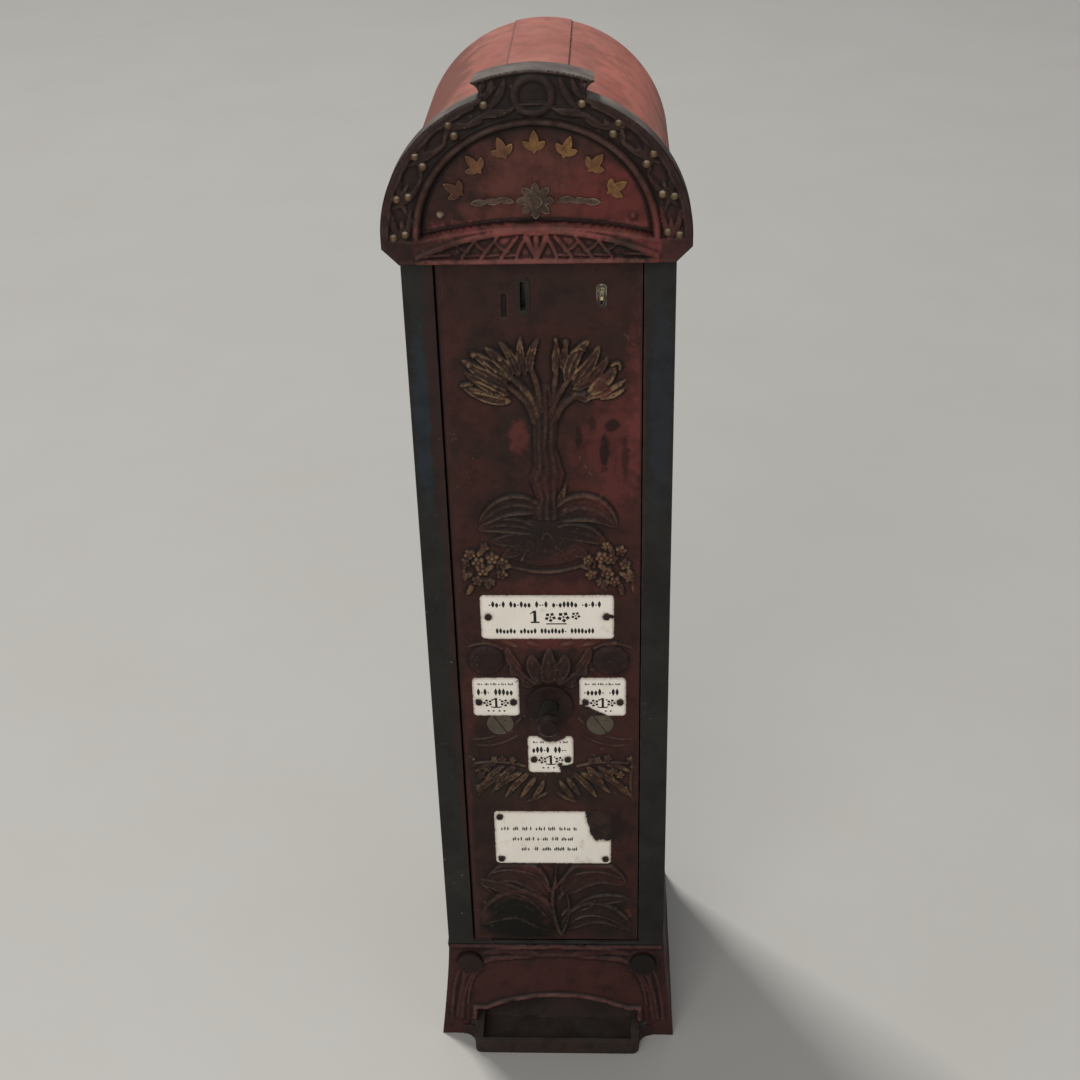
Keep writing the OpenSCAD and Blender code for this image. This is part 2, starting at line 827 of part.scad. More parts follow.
// The enamel's upper right corner is broken off in two steps
module low_plate() {
    high = low_plate_at[1] + low_plate_h / 2;
    right = low_plate_at[0] + low_plate_w / 2;
    enamel(low_plate_at, low_plate_w, low_plate_h)
        polygon([[right - 28, high + 1], [right - 25, high - 17], [right - 22, high - 27], [right - 17, high - 38],
            [right + 1, high - 40], [right + 1, high + 1]]);
}

module plate_screws() color([0.07, 0.07, 0.07]) {
    for (at = screw_at) {
        difference() {
            rod(at, -plate_t - 1.8, 1.8, screw_r);
            slab(-plate_t - 3, 2) translate(at) square([0.9, 2 * screw_r + 1], center = true);
        }
        rod(at, -plate_t, plate_t + door_t - 0.5, 1.55);
    }
}

clamp_shank = 6;
clamp_head = 4;
clamp_turn = 32;
module clamp_screws() color([0.5, 0.47, 0.4]) {
    for (s = [-1, 1]) {
        difference() {
            rod([s * clamp_x, clamp_z], 0, clamp_head, clamp_r);
            slab(-2, 3.6) translate([s * clamp_x, clamp_z]) rotate(clamp_turn)
                square([1.9, 2 * clamp_r + 2], center = true);
            rod([s * clamp_x + 5.4, clamp_z + 4.4], -1, 3, 1.2);
        }
        rod([s * clamp_x, clamp_z], clamp_head, door_t + 10 - clamp_head, clamp_shank - 0.1);
    }
}

carrier_t = 3;
carrier_x = 68;
carrier_up = 22;
carrier_down = 20;
module clamp_nuts() color([0.3, 0.3, 0.3]) {
    for (s = [-1, 1]) slab(door_t + carrier_t, 5) translate([s * clamp_x, clamp_z]) difference() {
        circle(r = 10, $fn = 6);
        circle(r = clamp_shank - 0.1);
    }
}

module mechanism_plate() color([0.28, 0.28, 0.27]) {
    slab(door_t, carrier_t) difference() {
        field(-carrier_x, carrier_x, clamp_z - carrier_down, button_z + carrier_up);
        for (s = [-1, 1]) translate([s * clamp_x, clamp_z]) circle(r = clamp_shank);
        translate([0, button_z]) circle(r = sleeve_r);
        for (p = screw_at) translate(p) circle(r = 2.5);
    }
}

sleeve_r = 11;
sleeve_end = 34;
sleeve_wall = 4;
thin_r = 5;
boss_out = 4;
module button_boss() color([0.26, 0.15, 0.13]) {
    difference() {
        union() {
            rod([0, button_z], -boss_out, boss_out, boss_r);
            rod([0, button_z], 0, sleeve_end + sleeve_wall, sleeve_r);
        }
        rod([0, button_z], -7, sleeve_end + 7, stem_r + run);
        rod([0, button_z], -7, sleeve_end + sleeve_wall + 8, thin_r + run);
    }
}

head_back = 9;
face_step = 4;
module push_button() color([0.14, 0.13, 0.13]) {
    difference() {
        union() {
            rod([0, button_z], -button_out, 2, button_r - face_step);
            translate([0, front_y - button_out + 1.5, button_z]) rotate([-90, 0, 0])
                cylinder(h = 3, r1 = button_r - face_step + 1.2, r2 = button_r);
            rod([0, button_z], -button_out + 4.5, head_back - 4.5, button_r);
        }
        rod([0, button_z], head_back - button_out - 3, 5, 4);
    }
}

shoulder = 4;
module button_stem() color([0.3, 0.29, 0.27]) {
    neck = head_back - button_out;
    rod([0, button_z], neck, -neck - shoulder, stem_r);
    rod([0, button_z], neck - 2.8, 3, 3.9);
    rod([0, button_z], -shoulder, stem_end + shoulder, thin_r);
}

module stem_collar() color([0.4, 0.4, 0.38]) {
    slab(sleeve_end + sleeve_wall + gap, 4) translate([0, button_z]) difference() {
        circle(r = 9);
        circle(r = thin_r);
    }
}

// Compression spring between the stem's shoulder and the end of the sleeve, as an unbroken round wire
spring_mid = (thin_r + stem_r) / 2;
spring_wire = 0.6;
spring_turns = 9;
spring_steps = 8;
spring_sides = 6;
spring_front = gap + spring_wire - shoulder;
spring_back = sleeve_end - gap - spring_wire;
spring_n = spring_turns * spring_steps;
function coil_point(t) = [
    spring_mid * cos(360 * spring_turns * t),
    spring_front + (spring_back - spring_front) * t,
    spring_mid * sin(360 * spring_turns * t)
];
function wire_point(t, a) = let (turn = 360 * spring_turns * t, r = spring_mid + spring_wire * cos(a)) [
    r * cos(turn),
    front_y + spring_front + (spring_back - spring_front) * t + spring_wire * sin(a),
    button_z + r * sin(turn)
];
module return_spring() color([0.45, 0.45, 0.42]) {
    rings = [for (i = [0:spring_n], j = [0:spring_sides - 1]) wire_point(i / spring_n, 360 * j / spring_sides)];
    sides = [for (i = [0:spring_n - 1], j = [0:spring_sides - 1], k = [0, 1])
        let (a = i * spring_sides + j, b = i * spring_sides + (j + 1) % spring_sides)
        k == 0 ? [a, b, b + spring_sides] : [a, b + spring_sides, a + spring_sides]];
    last = spring_n * spring_sides;
    ends = [for (j = [1:spring_sides - 2], k = [0, 1])
        k == 0 ? [0, j + 1, j] : [last, last + j, last + j + 1]];
    polyhedron(points = rings, faces = concat(sides, ends));
}

chute_yf = door_t + carrier_t + gap;
chute_in = 25;
chute_t = 0.6;
module coin_chute() color([0.5, 0.48, 0.42]) {
    x = slot_at[0] - slot_w / 2 - chute_t;
    w = slot_w + 2 * chute_t;
    top = slot_at[1] + slot_h / 2 + 6;
    low = low_plate_at[1] + 50;
    difference() {
        translate([x, front_y + chute_yf, low]) cube([w, chute_in, top - low]);
        translate([x + chute_t, front_y + chute_yf + chute_t, low - 1])
            cube([slot_w, chute_in - 2 * chute_t, top - low - chute_t + 1]);
        slab(chute_yf - 1, 3) field(x + chute_t, x + chute_t + slot_w, slot_at[1] - slot_h / 2, slot_at[1] + slot_h / 2);
    }
    for (z = [560, 700, 840]) difference() {
        translate([x - 5, front_y + door_t, z]) cube([w + 10, chute_yf - door_t + 6, 8]);
        translate([x, front_y + chute_yf, z - 1]) cube([w, 20, 10]);
    }
}

box_x = 46;
box_yf = door_t + gap;
box_in = 38;
box_drop = 78;
box_rise = 40;
box_wall = 1.5;
module coin_box() color([0.25, 0.27, 0.24]) {
    low = low_plate_at[1] - box_drop;
    top = low_plate_at[1] + box_rise;
    translate([-box_x, front_y + box_yf, low]) difference() {
        cube([2 * box_x, box_in, top - low]);
        translate([box_wall, box_wall, box_wall]) cube([2 * (box_x - box_wall), box_in - 2 * box_wall, top - low]);
    }
}

spindle_r = 5;
module lock_case() color([0.5, 0.46, 0.34]) {
    difference() {
        slab(door_t, cam_yf - gap - door_t) rounded([key_at[0], key_at[1] - 2], 34, 44, 3);
        rod(key_at, door_t - 1, 20, spindle_r + run);
        slab(door_t - 1, 5) field(key_at[0] - 2.5, key_at[0] + 2.5, key_at[1] - 12, key_at[1]);
    }
}

module lock_cam() color([0.55, 0.52, 0.42]) {
    difference() {
        union() {
            rod(key_at, door_t + 1, cam_yf + cam_t - door_t - 1, spindle_r);
            rod(key_at, cam_yf, cam_t, 8);
            rod([key_at[0], key_at[1] - cam_reach + 5], cam_yf, cam_t, 5);
            slab(cam_yf, cam_t) field(key_at[0] - 5, key_at[0] + 5, key_at[1] - cam_reach + 5, key_at[1]);
        }
        slab(door_t, 8) translate(key_at) square([2.4, 7], center = true);
    }
}

// Rocker

module rocker_shaft() color([0.45, 0.45, 0.43]) {
    reach = bearing_x + 6;
    translate([-reach, front_y + rocker_yf, rocker_z]) rotate([0, 90, 0]) cylinder(h = 2 * reach, r = shaft_r);
}

// An arm in the Y and Z plane, from the rocker's shaft to a point given by its length and its angle
module arm(x, t, len, turn, r_end) {
    translate([x - t / 2, front_y + rocker_yf, rocker_z]) rotate([90, 0, 90]) linear_extrude(t) difference() {
        union() {
            circle(r = 9);
            rotate(turn) translate([0, -arm_w / 2]) square([len, arm_w]);
            rotate(turn) translate([len, 0]) circle(r = r_end);
        }
        circle(r = shaft_r);
    }
}

module rocker_arms() color([0.28, 0.28, 0.27]) {
    arm(0, 6, upper_arm, 90 + swing, roller_r);
    for (s = [-1, 1]) {
        arm(s * arm_x, arm_t, lower_arm, swing - 90, 6);
        translate([s * (link_x + gap / 2), front_y + link_yf, link_high]) rotate([0, 90, 0])
            cylinder(h = rail_w + gap, r = link_r, center = true);
    }
}

bearing_x = 58;
bearing_t = 5;
bearing_r = 12;
bearing_foot = 16.5;
module rocker_bearings() color([0.25, 0.27, 0.26]) {
    for (s = [-1, 1]) difference() {
        union() {
            translate([s * bearing_x - bearing_t / 2, front_y + rocker_yf - bearing_r, rocker_z - bearing_r])
                cube([bearing_t, shelf_yf - rocker_yf + bearing_r, 2 * bearing_r]);
            translate([s * bearing_x - (s > 0 ? bearing_foot : 0) + s * bearing_t / 2, front_y + shelf_yf - 3,
                rocker_z - 20]) cube([bearing_foot, 3, 40]);
        }
        translate([s * bearing_x - bearing_t, front_y + rocker_yf, rocker_z]) rotate([0, 90, 0])
            cylinder(h = 2 * bearing_t, r = shaft_r + run);
    }
}

// Ejector

rail_low = link_low - link_r - 4;
finger_w = 10;
finger_t = 6;
module ejector_slide() color([0.4, 0.4, 0.38]) {
    difference() {
        union() {
            for (s = [-1, 1]) translate([s * link_x - rail_w / 2, front_y + link_yf - 8, rail_low])
                cube([rail_w, finger_yf + 12 - link_yf + 8, slide_top - rail_low]);
            translate([-pitch - finger_w, front_y + finger_yf, slide_top - 4])
                cube([2 * (pitch + finger_w), 12, 4]);
            for (i = [-1, 0, 1]) translate([i * pitch - finger_w / 2, front_y + finger_yf, slide_top - 4])
                cube([finger_w, finger_t, shelf_z + 10 - slide_top + 4]);
        }
        for (s = [-1, 1]) translate([s * link_x - rail_w, front_y + link_yf, 0]) rotate([90, 0, 90])
            linear_extrude(2 * rail_w) {
                translate([-link_r - 0.5, link_low - 0.5]) square([2 * link_r + 1, link_high - link_low + 1]);
                for (z = [link_low - 0.5, link_high + 0.5]) translate([0, z]) circle(r = link_r + 0.5);
            }
    }
}

module packet(x, yf, z) {
    translate([x - packet_w / 2, front_y + yf, z]) cube([packet_w, packet_d, packet_h]);
}

module bottom_packets() color([0.62, 0.35, 0.2]) {
    for (i = [-1, 0, 1]) packet(i * pitch, packet_yf, shelf_z + gap);
}

module slide_guides() color([0.3, 0.3, 0.3]) {
    for (y = [shelf_yf + 4, shelf_yf + 24]) difference() {
        translate([-link_x - 12, front_y + y, rail_low - 4]) cube([2 * link_x + 24, 8, shelf_low - rail_low + 4]);
        for (s = [-1, 1]) translate([s * link_x - rail_w / 2 - gap, front_y + y - 1, rail_low - gap])
            cube([rail_w + 2 * gap, 10, slide_top - rail_low + 2 * gap + 1]);
    }
}

module packet_shelf() color([0.3, 0.31, 0.3]) {
    inner = half_w - wall_t - gap;
    difference() {
        translate([-inner, front_y + shelf_yf, shelf_low]) cube([2 * inner, finger_yf + 22 - shelf_yf, shelf_t]);
        for (i = [-1, 0, 1]) translate([i * pitch - finger_w / 2 - 1, front_y + finger_yf - eject_travel - 2, shelf_low - 1])
            cube([finger_w + 2, eject_travel + finger_t + 6, shelf_t + 2]);
    }
}

module shelf_ledges() color([0.2, 0.21, 0.21]) {
    inner = half_w - wall_t;
    for (s = [-1, 1]) translate([s > 0 ? inner - 14 : -inner, front_y + shelf_yf + 4, shelf_low - 3]) {
        cube([14, finger_yf + 10 - shelf_yf, 3]);
        translate([s > 0 ? 12 : 0, 0, -14]) cube([2, finger_yf + 10 - shelf_yf, 15]);
    }
}

// Packet columns

column_lip = 5;
column_in = packet_w + 2;
column_deep = packet_d + 2;
module column(i) {
    w = column_in + 2 * column_wall;
    x = i * pitch - w / 2;
    y = front_y + packet_yf - 1 - column_wall;
    low = shelf_z + packet_h + 2 * gap + 1;
    color([0.42, 0.42, 0.4]) difference() {
        translate([x, y, shelf_z]) cube([w, column_deep + 2 * column_wall, column_top - shelf_z]);
        translate([x + column_wall, y + column_wall, shelf_z - 1]) cube([column_in, column_deep, column_top]);
        translate([x + column_wall + column_lip, y - 1, shelf_z - 1])
            cube([column_in - 2 * column_lip, 5, column_top]);
        translate([x - 1, y - 1, shelf_z - 1]) cube([w + 2, column_wall + 1.5, low - shelf_z + 1]);
        translate([i * pitch - finger_w / 2 - 1, y + column_deep, shelf_z - 1]) cube([finger_w + 2, 5, 14]);
    }
}

module left_column() column(-1);

module middle_column() column(0);

module right_column() column(1);

packet_step = packet_h + 0.2;
stack_low = shelf_z + packet_h + 2 * gap;
module packet_stack(i) {
    color([0.62, 0.35, 0.2]) for (k = [0:packets_left[i + 1] - 1])
        packet(i * pitch, packet_yf, stack_low + k * packet_step);
}

module left_packets() packet_stack(-1);

module middle_packets() packet_stack(0);

module right_packets() packet_stack(1);

module packet_weights() color([0.15, 0.15, 0.15]) {
    for (i = [-1, 0, 1]) translate([i * pitch - packet_w / 2 + 2, front_y + packet_yf + 4,
        stack_low + packets_left[i + 1] * packet_step]) difference() {
            cube([packet_w - 4, packet_d - 8, 12]);
            translate([8, 20, 6]) cube([packet_w - 20, packet_d - 48, 7]);
        }
}

// Sheet that leads the falling packets from the shelf forward into the tray
module delivery_chute() color([0.35, 0.36, 0.34]) {
    t = 1.5;
    back = shelf_yf + 6;
    high = rail_low - 8;
    knee = 68;
    toe = 11;
    toe_z = 4;
    translate([-chute_x, front_y, 0]) rotate([90, 0, 90]) {
        linear_extrude(2 * chute_x) polygon([[toe, toe_z], [back, knee], [back, high], [back + t, high],
            [back + t, knee - 1], [toe + 1, toe_z - 1], [toe, toe_z - 1]]);
        for (x = [0, 2 * chute_x - t]) translate([0, 0, x]) linear_extrude(t)
            polygon([[toe, 3], [toe, 40], [60, 100], [60, high], [back + t, high], [back + t, 3]]);
    }
}

foot_casting();
foot_bosses();
tray();
floor_plate();
front_frame();
left_wall();
right_wall();
back_plate();
corner_angles();
roof_hood();
roof_ridge();
pediment();
pediment_beads();
gilt_leaves();
rosette();
pediment_bolts();
hinge_plates();
hinge_pins();
lock_keeper();
door_panel();
coin_slot_rim();
keyhole_rim();
top_plate();
left_plate();
right_plate();
middle_plate();
low_plate();
plate_screws();
clamp_screws();
clamp_nuts();
mechanism_plate();
button_boss();
coin_chute();
coin_box();
lock_case();
lock_cam();
push_button();
button_stem();
stem_collar();
return_spring();
rocker_shaft();
rocker_arms();
rocker_bearings();
ejector_slide();
bottom_packets();
slide_guides();
packet_shelf();
shelf_ledges();
left_column();
middle_column();
right_column();
left_packets();
middle_packets();
right_packets();
packet_weights();
delivery_chute();
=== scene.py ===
# %% [markdown]
# # A cast-iron vending machine, dressed over its CAD frame
#
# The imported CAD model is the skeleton: every piece made here sits where the CAD says and moves with a CAD body.
# Lengths in this lesson are in millimetres, as on a workshop drawing, and become metres only when a mesh is written.

# %% Load the frame
import math

import bpy
import numpy as np
from mathutils import Matrix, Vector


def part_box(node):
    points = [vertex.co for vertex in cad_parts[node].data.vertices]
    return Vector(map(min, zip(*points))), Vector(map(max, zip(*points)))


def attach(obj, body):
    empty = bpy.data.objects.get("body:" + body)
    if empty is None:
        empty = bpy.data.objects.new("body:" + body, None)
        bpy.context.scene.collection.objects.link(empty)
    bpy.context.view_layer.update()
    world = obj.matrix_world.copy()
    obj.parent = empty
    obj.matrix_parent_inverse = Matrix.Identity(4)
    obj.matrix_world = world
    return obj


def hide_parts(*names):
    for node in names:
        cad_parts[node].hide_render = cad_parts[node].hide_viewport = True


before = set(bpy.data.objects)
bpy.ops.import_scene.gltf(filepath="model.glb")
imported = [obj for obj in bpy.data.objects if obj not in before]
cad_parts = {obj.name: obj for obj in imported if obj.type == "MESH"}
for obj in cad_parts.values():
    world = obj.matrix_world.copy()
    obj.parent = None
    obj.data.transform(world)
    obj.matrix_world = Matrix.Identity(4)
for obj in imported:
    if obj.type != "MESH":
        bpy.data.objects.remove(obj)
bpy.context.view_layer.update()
MM = 0.001

# %% [markdown]
# The driving sizes are read from the frame's own boxes, so the dressing follows the CAD. Front plane, spring of the
# roof, top of the foot and edges of the door are all that the later cells need.


# %% Measure the frame
def corners_of(node):
    """The lowest and the highest corner of a CAD node, in millimetres."""
    return [[value / MM for value in corner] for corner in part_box(node)]


FRONT = corners_of("front_frame")[0][1]
BACK = corners_of("back_plate")[1][1]
SPRING = corners_of("roof_hood")[0][2]
HALF_CASE = corners_of("roof_hood")[1][0]
FOOT_TOP = corners_of("left_wall")[0][2]
DOOR_LEFT, DOOR_RIGHT = corners_of("door_panel")[0][0], corners_of("door_panel")[1][0]
DOOR_LOW, DOOR_HIGH = corners_of("door_panel")[0][2], corners_of("door_panel")[1][2]
print("front", FRONT, "spring", SPRING, "half case", HALF_CASE, "door", DOOR_LEFT, DOOR_RIGHT, DOOR_LOW, DOOR_HIGH)

# %% [markdown]
# ## Camera
#
# The photographer stood in front of the machine and looked down at it. Place, turn and lens were worked out from the
# case's corners and the round head, so that the render can be laid over the photograph. The lens is given for a
# square frame on a 36 mm sensor.

# %% Camera
camera_data = bpy.data.cameras.new("portrait_camera")
camera_data.sensor_width = 36
camera_data.lens = 53.33
camera = bpy.data.objects.new("portrait_camera", camera_data)
bpy.context.scene.collection.objects.link(camera)
yaw, pitch, roll = -0.0493, 0.5297, 0.0282
ahead = np.array([math.sin(yaw) * math.cos(pitch), math.cos(yaw) * math.cos(pitch), -math.sin(pitch)])
level = np.array([math.cos(yaw), -math.sin(yaw), 0])
under = np.cross(ahead, level)
right = math.cos(roll) * level + math.sin(roll) * under
down = -math.sin(roll) * level + math.cos(roll) * under
turned = Matrix([[right[i], -down[i], -ahead[i]] for i in range(3)]).to_4x4()
camera.matrix_world = Matrix.Translation((0.0599, -1.4448, 1.4232)) @ turned
bpy.context.scene.camera = camera
print("camera at", [round(v, 3) for v in camera.matrix_world.translation])

# %% [markdown]
# ## Nodes in few words
#
# Shader trees get long, so small helpers keep them readable: `add` makes a node, sets it and plugs in its inputs,
# `blend` mixes two colours by a mask, and the others are sums, noise and soft steps.


# %% Helpers for shader trees
def plug(tree, node, inputs):
    """Sets a node's inputs; each is a value or another node's socket."""
    for name, value in inputs.items():
        if isinstance(value, bpy.types.NodeSocket):
            tree.links.new(value, node.inputs[name])
        else:
            node.inputs[name].default_value = value
    return node


def add(tree, kind, inputs, **settings):
    """A new shader node with its settings and inputs."""
    node = tree.nodes.new("ShaderNode" + kind)
    for name, value in settings.items():
        setattr(node, name, value)
    return plug(tree, node, inputs)


def blend(tree, mask, under_it, over_it):
    """Mixes two colours by a mask; each is a node's socket, or red, green and blue in thousandths."""
    colours = [c if isinstance(c, bpy.types.NodeSocket) else (*(v / 1000 for v in c), 1.0) for c in (under_it, over_it)]
    return add(tree, "Mix", {0: mask, 6: colours[0], 7: colours[1]}, data_type="RGBA").outputs[2]


def calc(tree, operation, first, second=0.0, clamp=False):
    """One sum on masks or heights."""
    return add(tree, "Math", {0: first, 1: second}, operation=operation, use_clamp=clamp).outputs[0]


def times(tree, first, second, clamp=False):
    """The product of two masks."""
    return calc(tree, "MULTIPLY", first, second, clamp)


def vector(tree, operation, first, second=None, output=0):
    """One sum on places."""
    inputs = {0: first} if second is None else {0: first, 1: second}
    return add(tree, "VectorMath", inputs, operation=operation).outputs[output]


def noise(tree, place, scale, detail, roughness=0.5):
    """A cloud of values around a half."""
    inputs = {"Vector": place, "Scale": scale, "Detail": detail, "Roughness": roughness}
    return add(tree, "TexNoise", inputs).outputs[0]


def ramp(tree, value, low, high, to_low=0.0, to_high=1.0):
    """Maps a value from low..high to two new ends, with a soft step."""
    inputs = {"Value": value, "From Min": low, "From Max": high, "To Min": to_low, "To Max": to_high}
    return add(tree, "MapRange", inputs, interpolation_type="SMOOTHSTEP").outputs["Result"]


def shader_group(name, output, **inputs):
    """An empty shader node group with a place, named inputs and one output; an input without a value is a vector."""
    group = bpy.data.node_groups.new(name, "ShaderNodeTree")
    for title, value in {"Vector": None, **inputs}.items():
        kind = "NodeSocketVector" if value is None else "NodeSocketFloat"
        socket = group.interface.new_socket(title, in_out="INPUT", socket_type=kind)
        if value is not None:
            socket.default_value = value
    group.interface.new_socket(output, in_out="OUTPUT", socket_type="NodeSocketFloat")
    source, sink = group.nodes.new("NodeGroupInput"), group.nodes.new("NodeGroupOutput")
    return group, source.outputs, sink.inputs[output]


def use(tree, group, place, **inputs):
    """Places a shader node group in a tree and returns its output."""
    node = tree.nodes.new("ShaderNodeGroup")
    node.node_tree = bpy.data.node_groups[group]
    return plug(tree, node, {"Vector": place, **inputs}).outputs[0]


# %% [markdown]
# ## Effects that many finishes share
#
# Old paint is never one colour. The same few effects come back in every finish of this machine, each as a node group:
# cloudy *blotches*, a *patch* at one known place, small *chips*, *drips* of dirt, the *grain* of sand-cast iron,
# *rubbed edges* of the machined pieces, and *dust* on what faces up, which on the gilt beads is a painted highlight.

# %% Blotches and patches
group, given, made = shader_group("blotches", "Mask", Scale=10.0, Level=0.5, Softness=0.1)
clouds = noise(group, given["Vector"], given["Scale"], 6, 0.62)
low_end = calc(group, "SUBTRACT", given["Level"], given["Softness"])
high_end = calc(group, "ADD", given["Level"], given["Softness"])
group.links.new(ramp(group, clouds, low_end, high_end), made)

group, given, made = shader_group("patch", "Mask", Centre=None, Reach=None, Ragged=0.7, Scale=28.0)
away = vector(group, "DIVIDE", vector(group, "SUBTRACT", given["Vector"], given["Centre"]), given["Reach"])
torn = calc(group, "SUBTRACT", noise(group, given["Vector"], given["Scale"], 6, 0.65), 0.5)
torn = times(group, torn, times(group, given["Ragged"], 3.0))
distance = calc(group, "ADD", vector(group, "LENGTH", away, output="Value"), torn)
group.links.new(ramp(group, distance, 0.55, 1.15, 1.0, 0.0), made)

# %% Chips, drips and grain
group, given, made = shader_group("chips", "Mask", Scale=160.0, Level=0.7)
areas = ramp(group, noise(group, given["Vector"], 14, 3), 0.35, 0.7, 0.8, 1.12)
flakes = times(group, noise(group, given["Vector"], given["Scale"], 3), areas)
group.links.new(ramp(group, flakes, given["Level"], calc(group, "ADD", given["Level"], 0.03)), made)

group, given, made = shader_group("drips", "Mask", Scale=60.0, Level=0.6)
runs = noise(group, vector(group, "MULTIPLY", given["Vector"], (1.0, 1.0, 0.22)), given["Scale"], 4, 0.65)
group.links.new(ramp(group, runs, given["Level"], calc(group, "ADD", given["Level"], 0.07)), made)

group, given, made = shader_group("cast_grain", "Height", Scale=420.0)
sand = noise(group, given["Vector"], given["Scale"], 4, 0.6)
pits = add(group, "TexVoronoi", {"Vector": given["Vector"], "Scale": times(group, given["Scale"], 0.4)})
pit = ramp(group, pits.outputs["Distance"], 0.0, 0.35, -0.35, 0.0)
group.links.new(calc(group, "ADD", sand, pit), made)

# %% Rubbed edges, and dust and painted highlight on what faces up
group, given, made = shader_group("rubbed_edges", "Mask", Width=0.0016)
rounded = add(group, "Bevel", {"Radius": given["Width"]}, samples=4).outputs[0]
plain = add(group, "NewGeometry", {}).outputs["Normal"]
rub = ramp(group, vector(group, "DOT_PRODUCT", rounded, plain, "Value"), 0.985, 0.88)
rub = times(group, rub, ramp(group, noise(group, given["Vector"], 70, 4), 0.35, 0.6))
group.links.new(rub, made)

# What faces up takes a colour: grey dust on most pieces, a painted highlight on the gilt beads.
group, given, made = shader_group("dust_and_highlight", "Mask", Amount=0.5)
facing = add(group, "SeparateXYZ", {0: add(group, "NewGeometry", {}).outputs["Normal"]}).outputs["Z"]
cloud = ramp(group, noise(group, given["Vector"], 35, 5), 0.3, 0.7, 0.4, 1.0)
group.links.new(times(group, times(group, ramp(group, facing, 0.35, 0.95), cloud), given["Amount"]), made)
print("groups:", [g.name for g in bpy.data.node_groups])


# %% [markdown]
# ## Finishes
#
# Most of the machine has one kind of skin: dark red oil paint on rough cast iron, gone brown and black with a hundred
# years of hands and smoke. `old_paint` builds that skin from the shared effects. Sculpted pieces carry three masks of
# their own, measured on their relief: `hollow` where grime collects, `crest` where hands rub the paint off, and `gilt`
# where the founder's bronze paint is left; on the foot the `gilt` mask also lays a painted highlight on ridges and lip.


# %% Old paint
def new_finish(name):
    """A material with its tree, its shader and the object's own coordinates."""
    material = bpy.data.materials.new(name)
    material.use_nodes = True
    tree = material.node_tree
    place = tree.nodes.new("ShaderNodeTexCoord").outputs["Object"]
    return material, tree, tree.nodes["Principled BSDF"], place


def measured(tree, name):
    """A mask that the mesh carries as an attribute."""
    return add(tree, "Attribute", {}, attribute_name=name).outputs["Fac"]


DARK_BROWN = (19, 12, 10.5)
BRONZE = (210, 125, 62)
GREY_DUST = (130, 115, 100)


def beyond(tree, place, ellipse):
    """1 outside an ellipse on the front, given by half its width and half its height, 0 inside."""
    away = vector(tree, "SUBTRACT", place, (0, 0, SPRING * MM))
    away = vector(tree, "MULTIPLY", away, (1000 / ellipse[0], 0, 1000 / ellipse[1]))
    return ramp(tree, vector(tree, "LENGTH", away, output="Value"), 0.985, 1.01)


def patched(tree, place, colour, patches):
    """Lays patches over a colour; a centre of two numbers is on the front plane, and lengths are in millimetres."""
    for centre, reach, tint, strength in patches:
        centre = centre if len(centre) == 3 else (centre[0], FRONT, centre[1])
        centre, reach = [v * MM for v in centre], [v * MM for v in reach]
        torn = min(max(0.9 / min(reach[0], reach[2]), 24), 220)
        mask = use(tree, "patch", place, Centre=centre, Reach=reach, Scale=torn)
        colour = blend(tree, times(tree, mask, strength), colour, tint)
    return colour


def rubbed(tree, place, colour, grime, sculpted, bronze_and_highlight):
    """Grime and gilding of a relief by its own masks; returns the colour and where hands rub.
    On the foot the gilding is worn paint with a painted highlight.
    """
    if not sculpted:
        return colour, use(tree, "rubbed_edges", place)
    colour = blend(tree, times(tree, measured(tree, "hollow"), 0.9, clamp=True), colour, grime)
    crest = measured(tree, "crest")
    flaked = use(tree, "blotches", place, Scale=85, Level=0.5, Softness=0.09)
    flaked = times(tree, flaked, calc(tree, "ADD", times(tree, crest, 1.7), 0.1))
    return blend(tree, times(tree, flaked, measured(tree, "gilt"), clamp=True), colour, bronze_and_highlight), crest


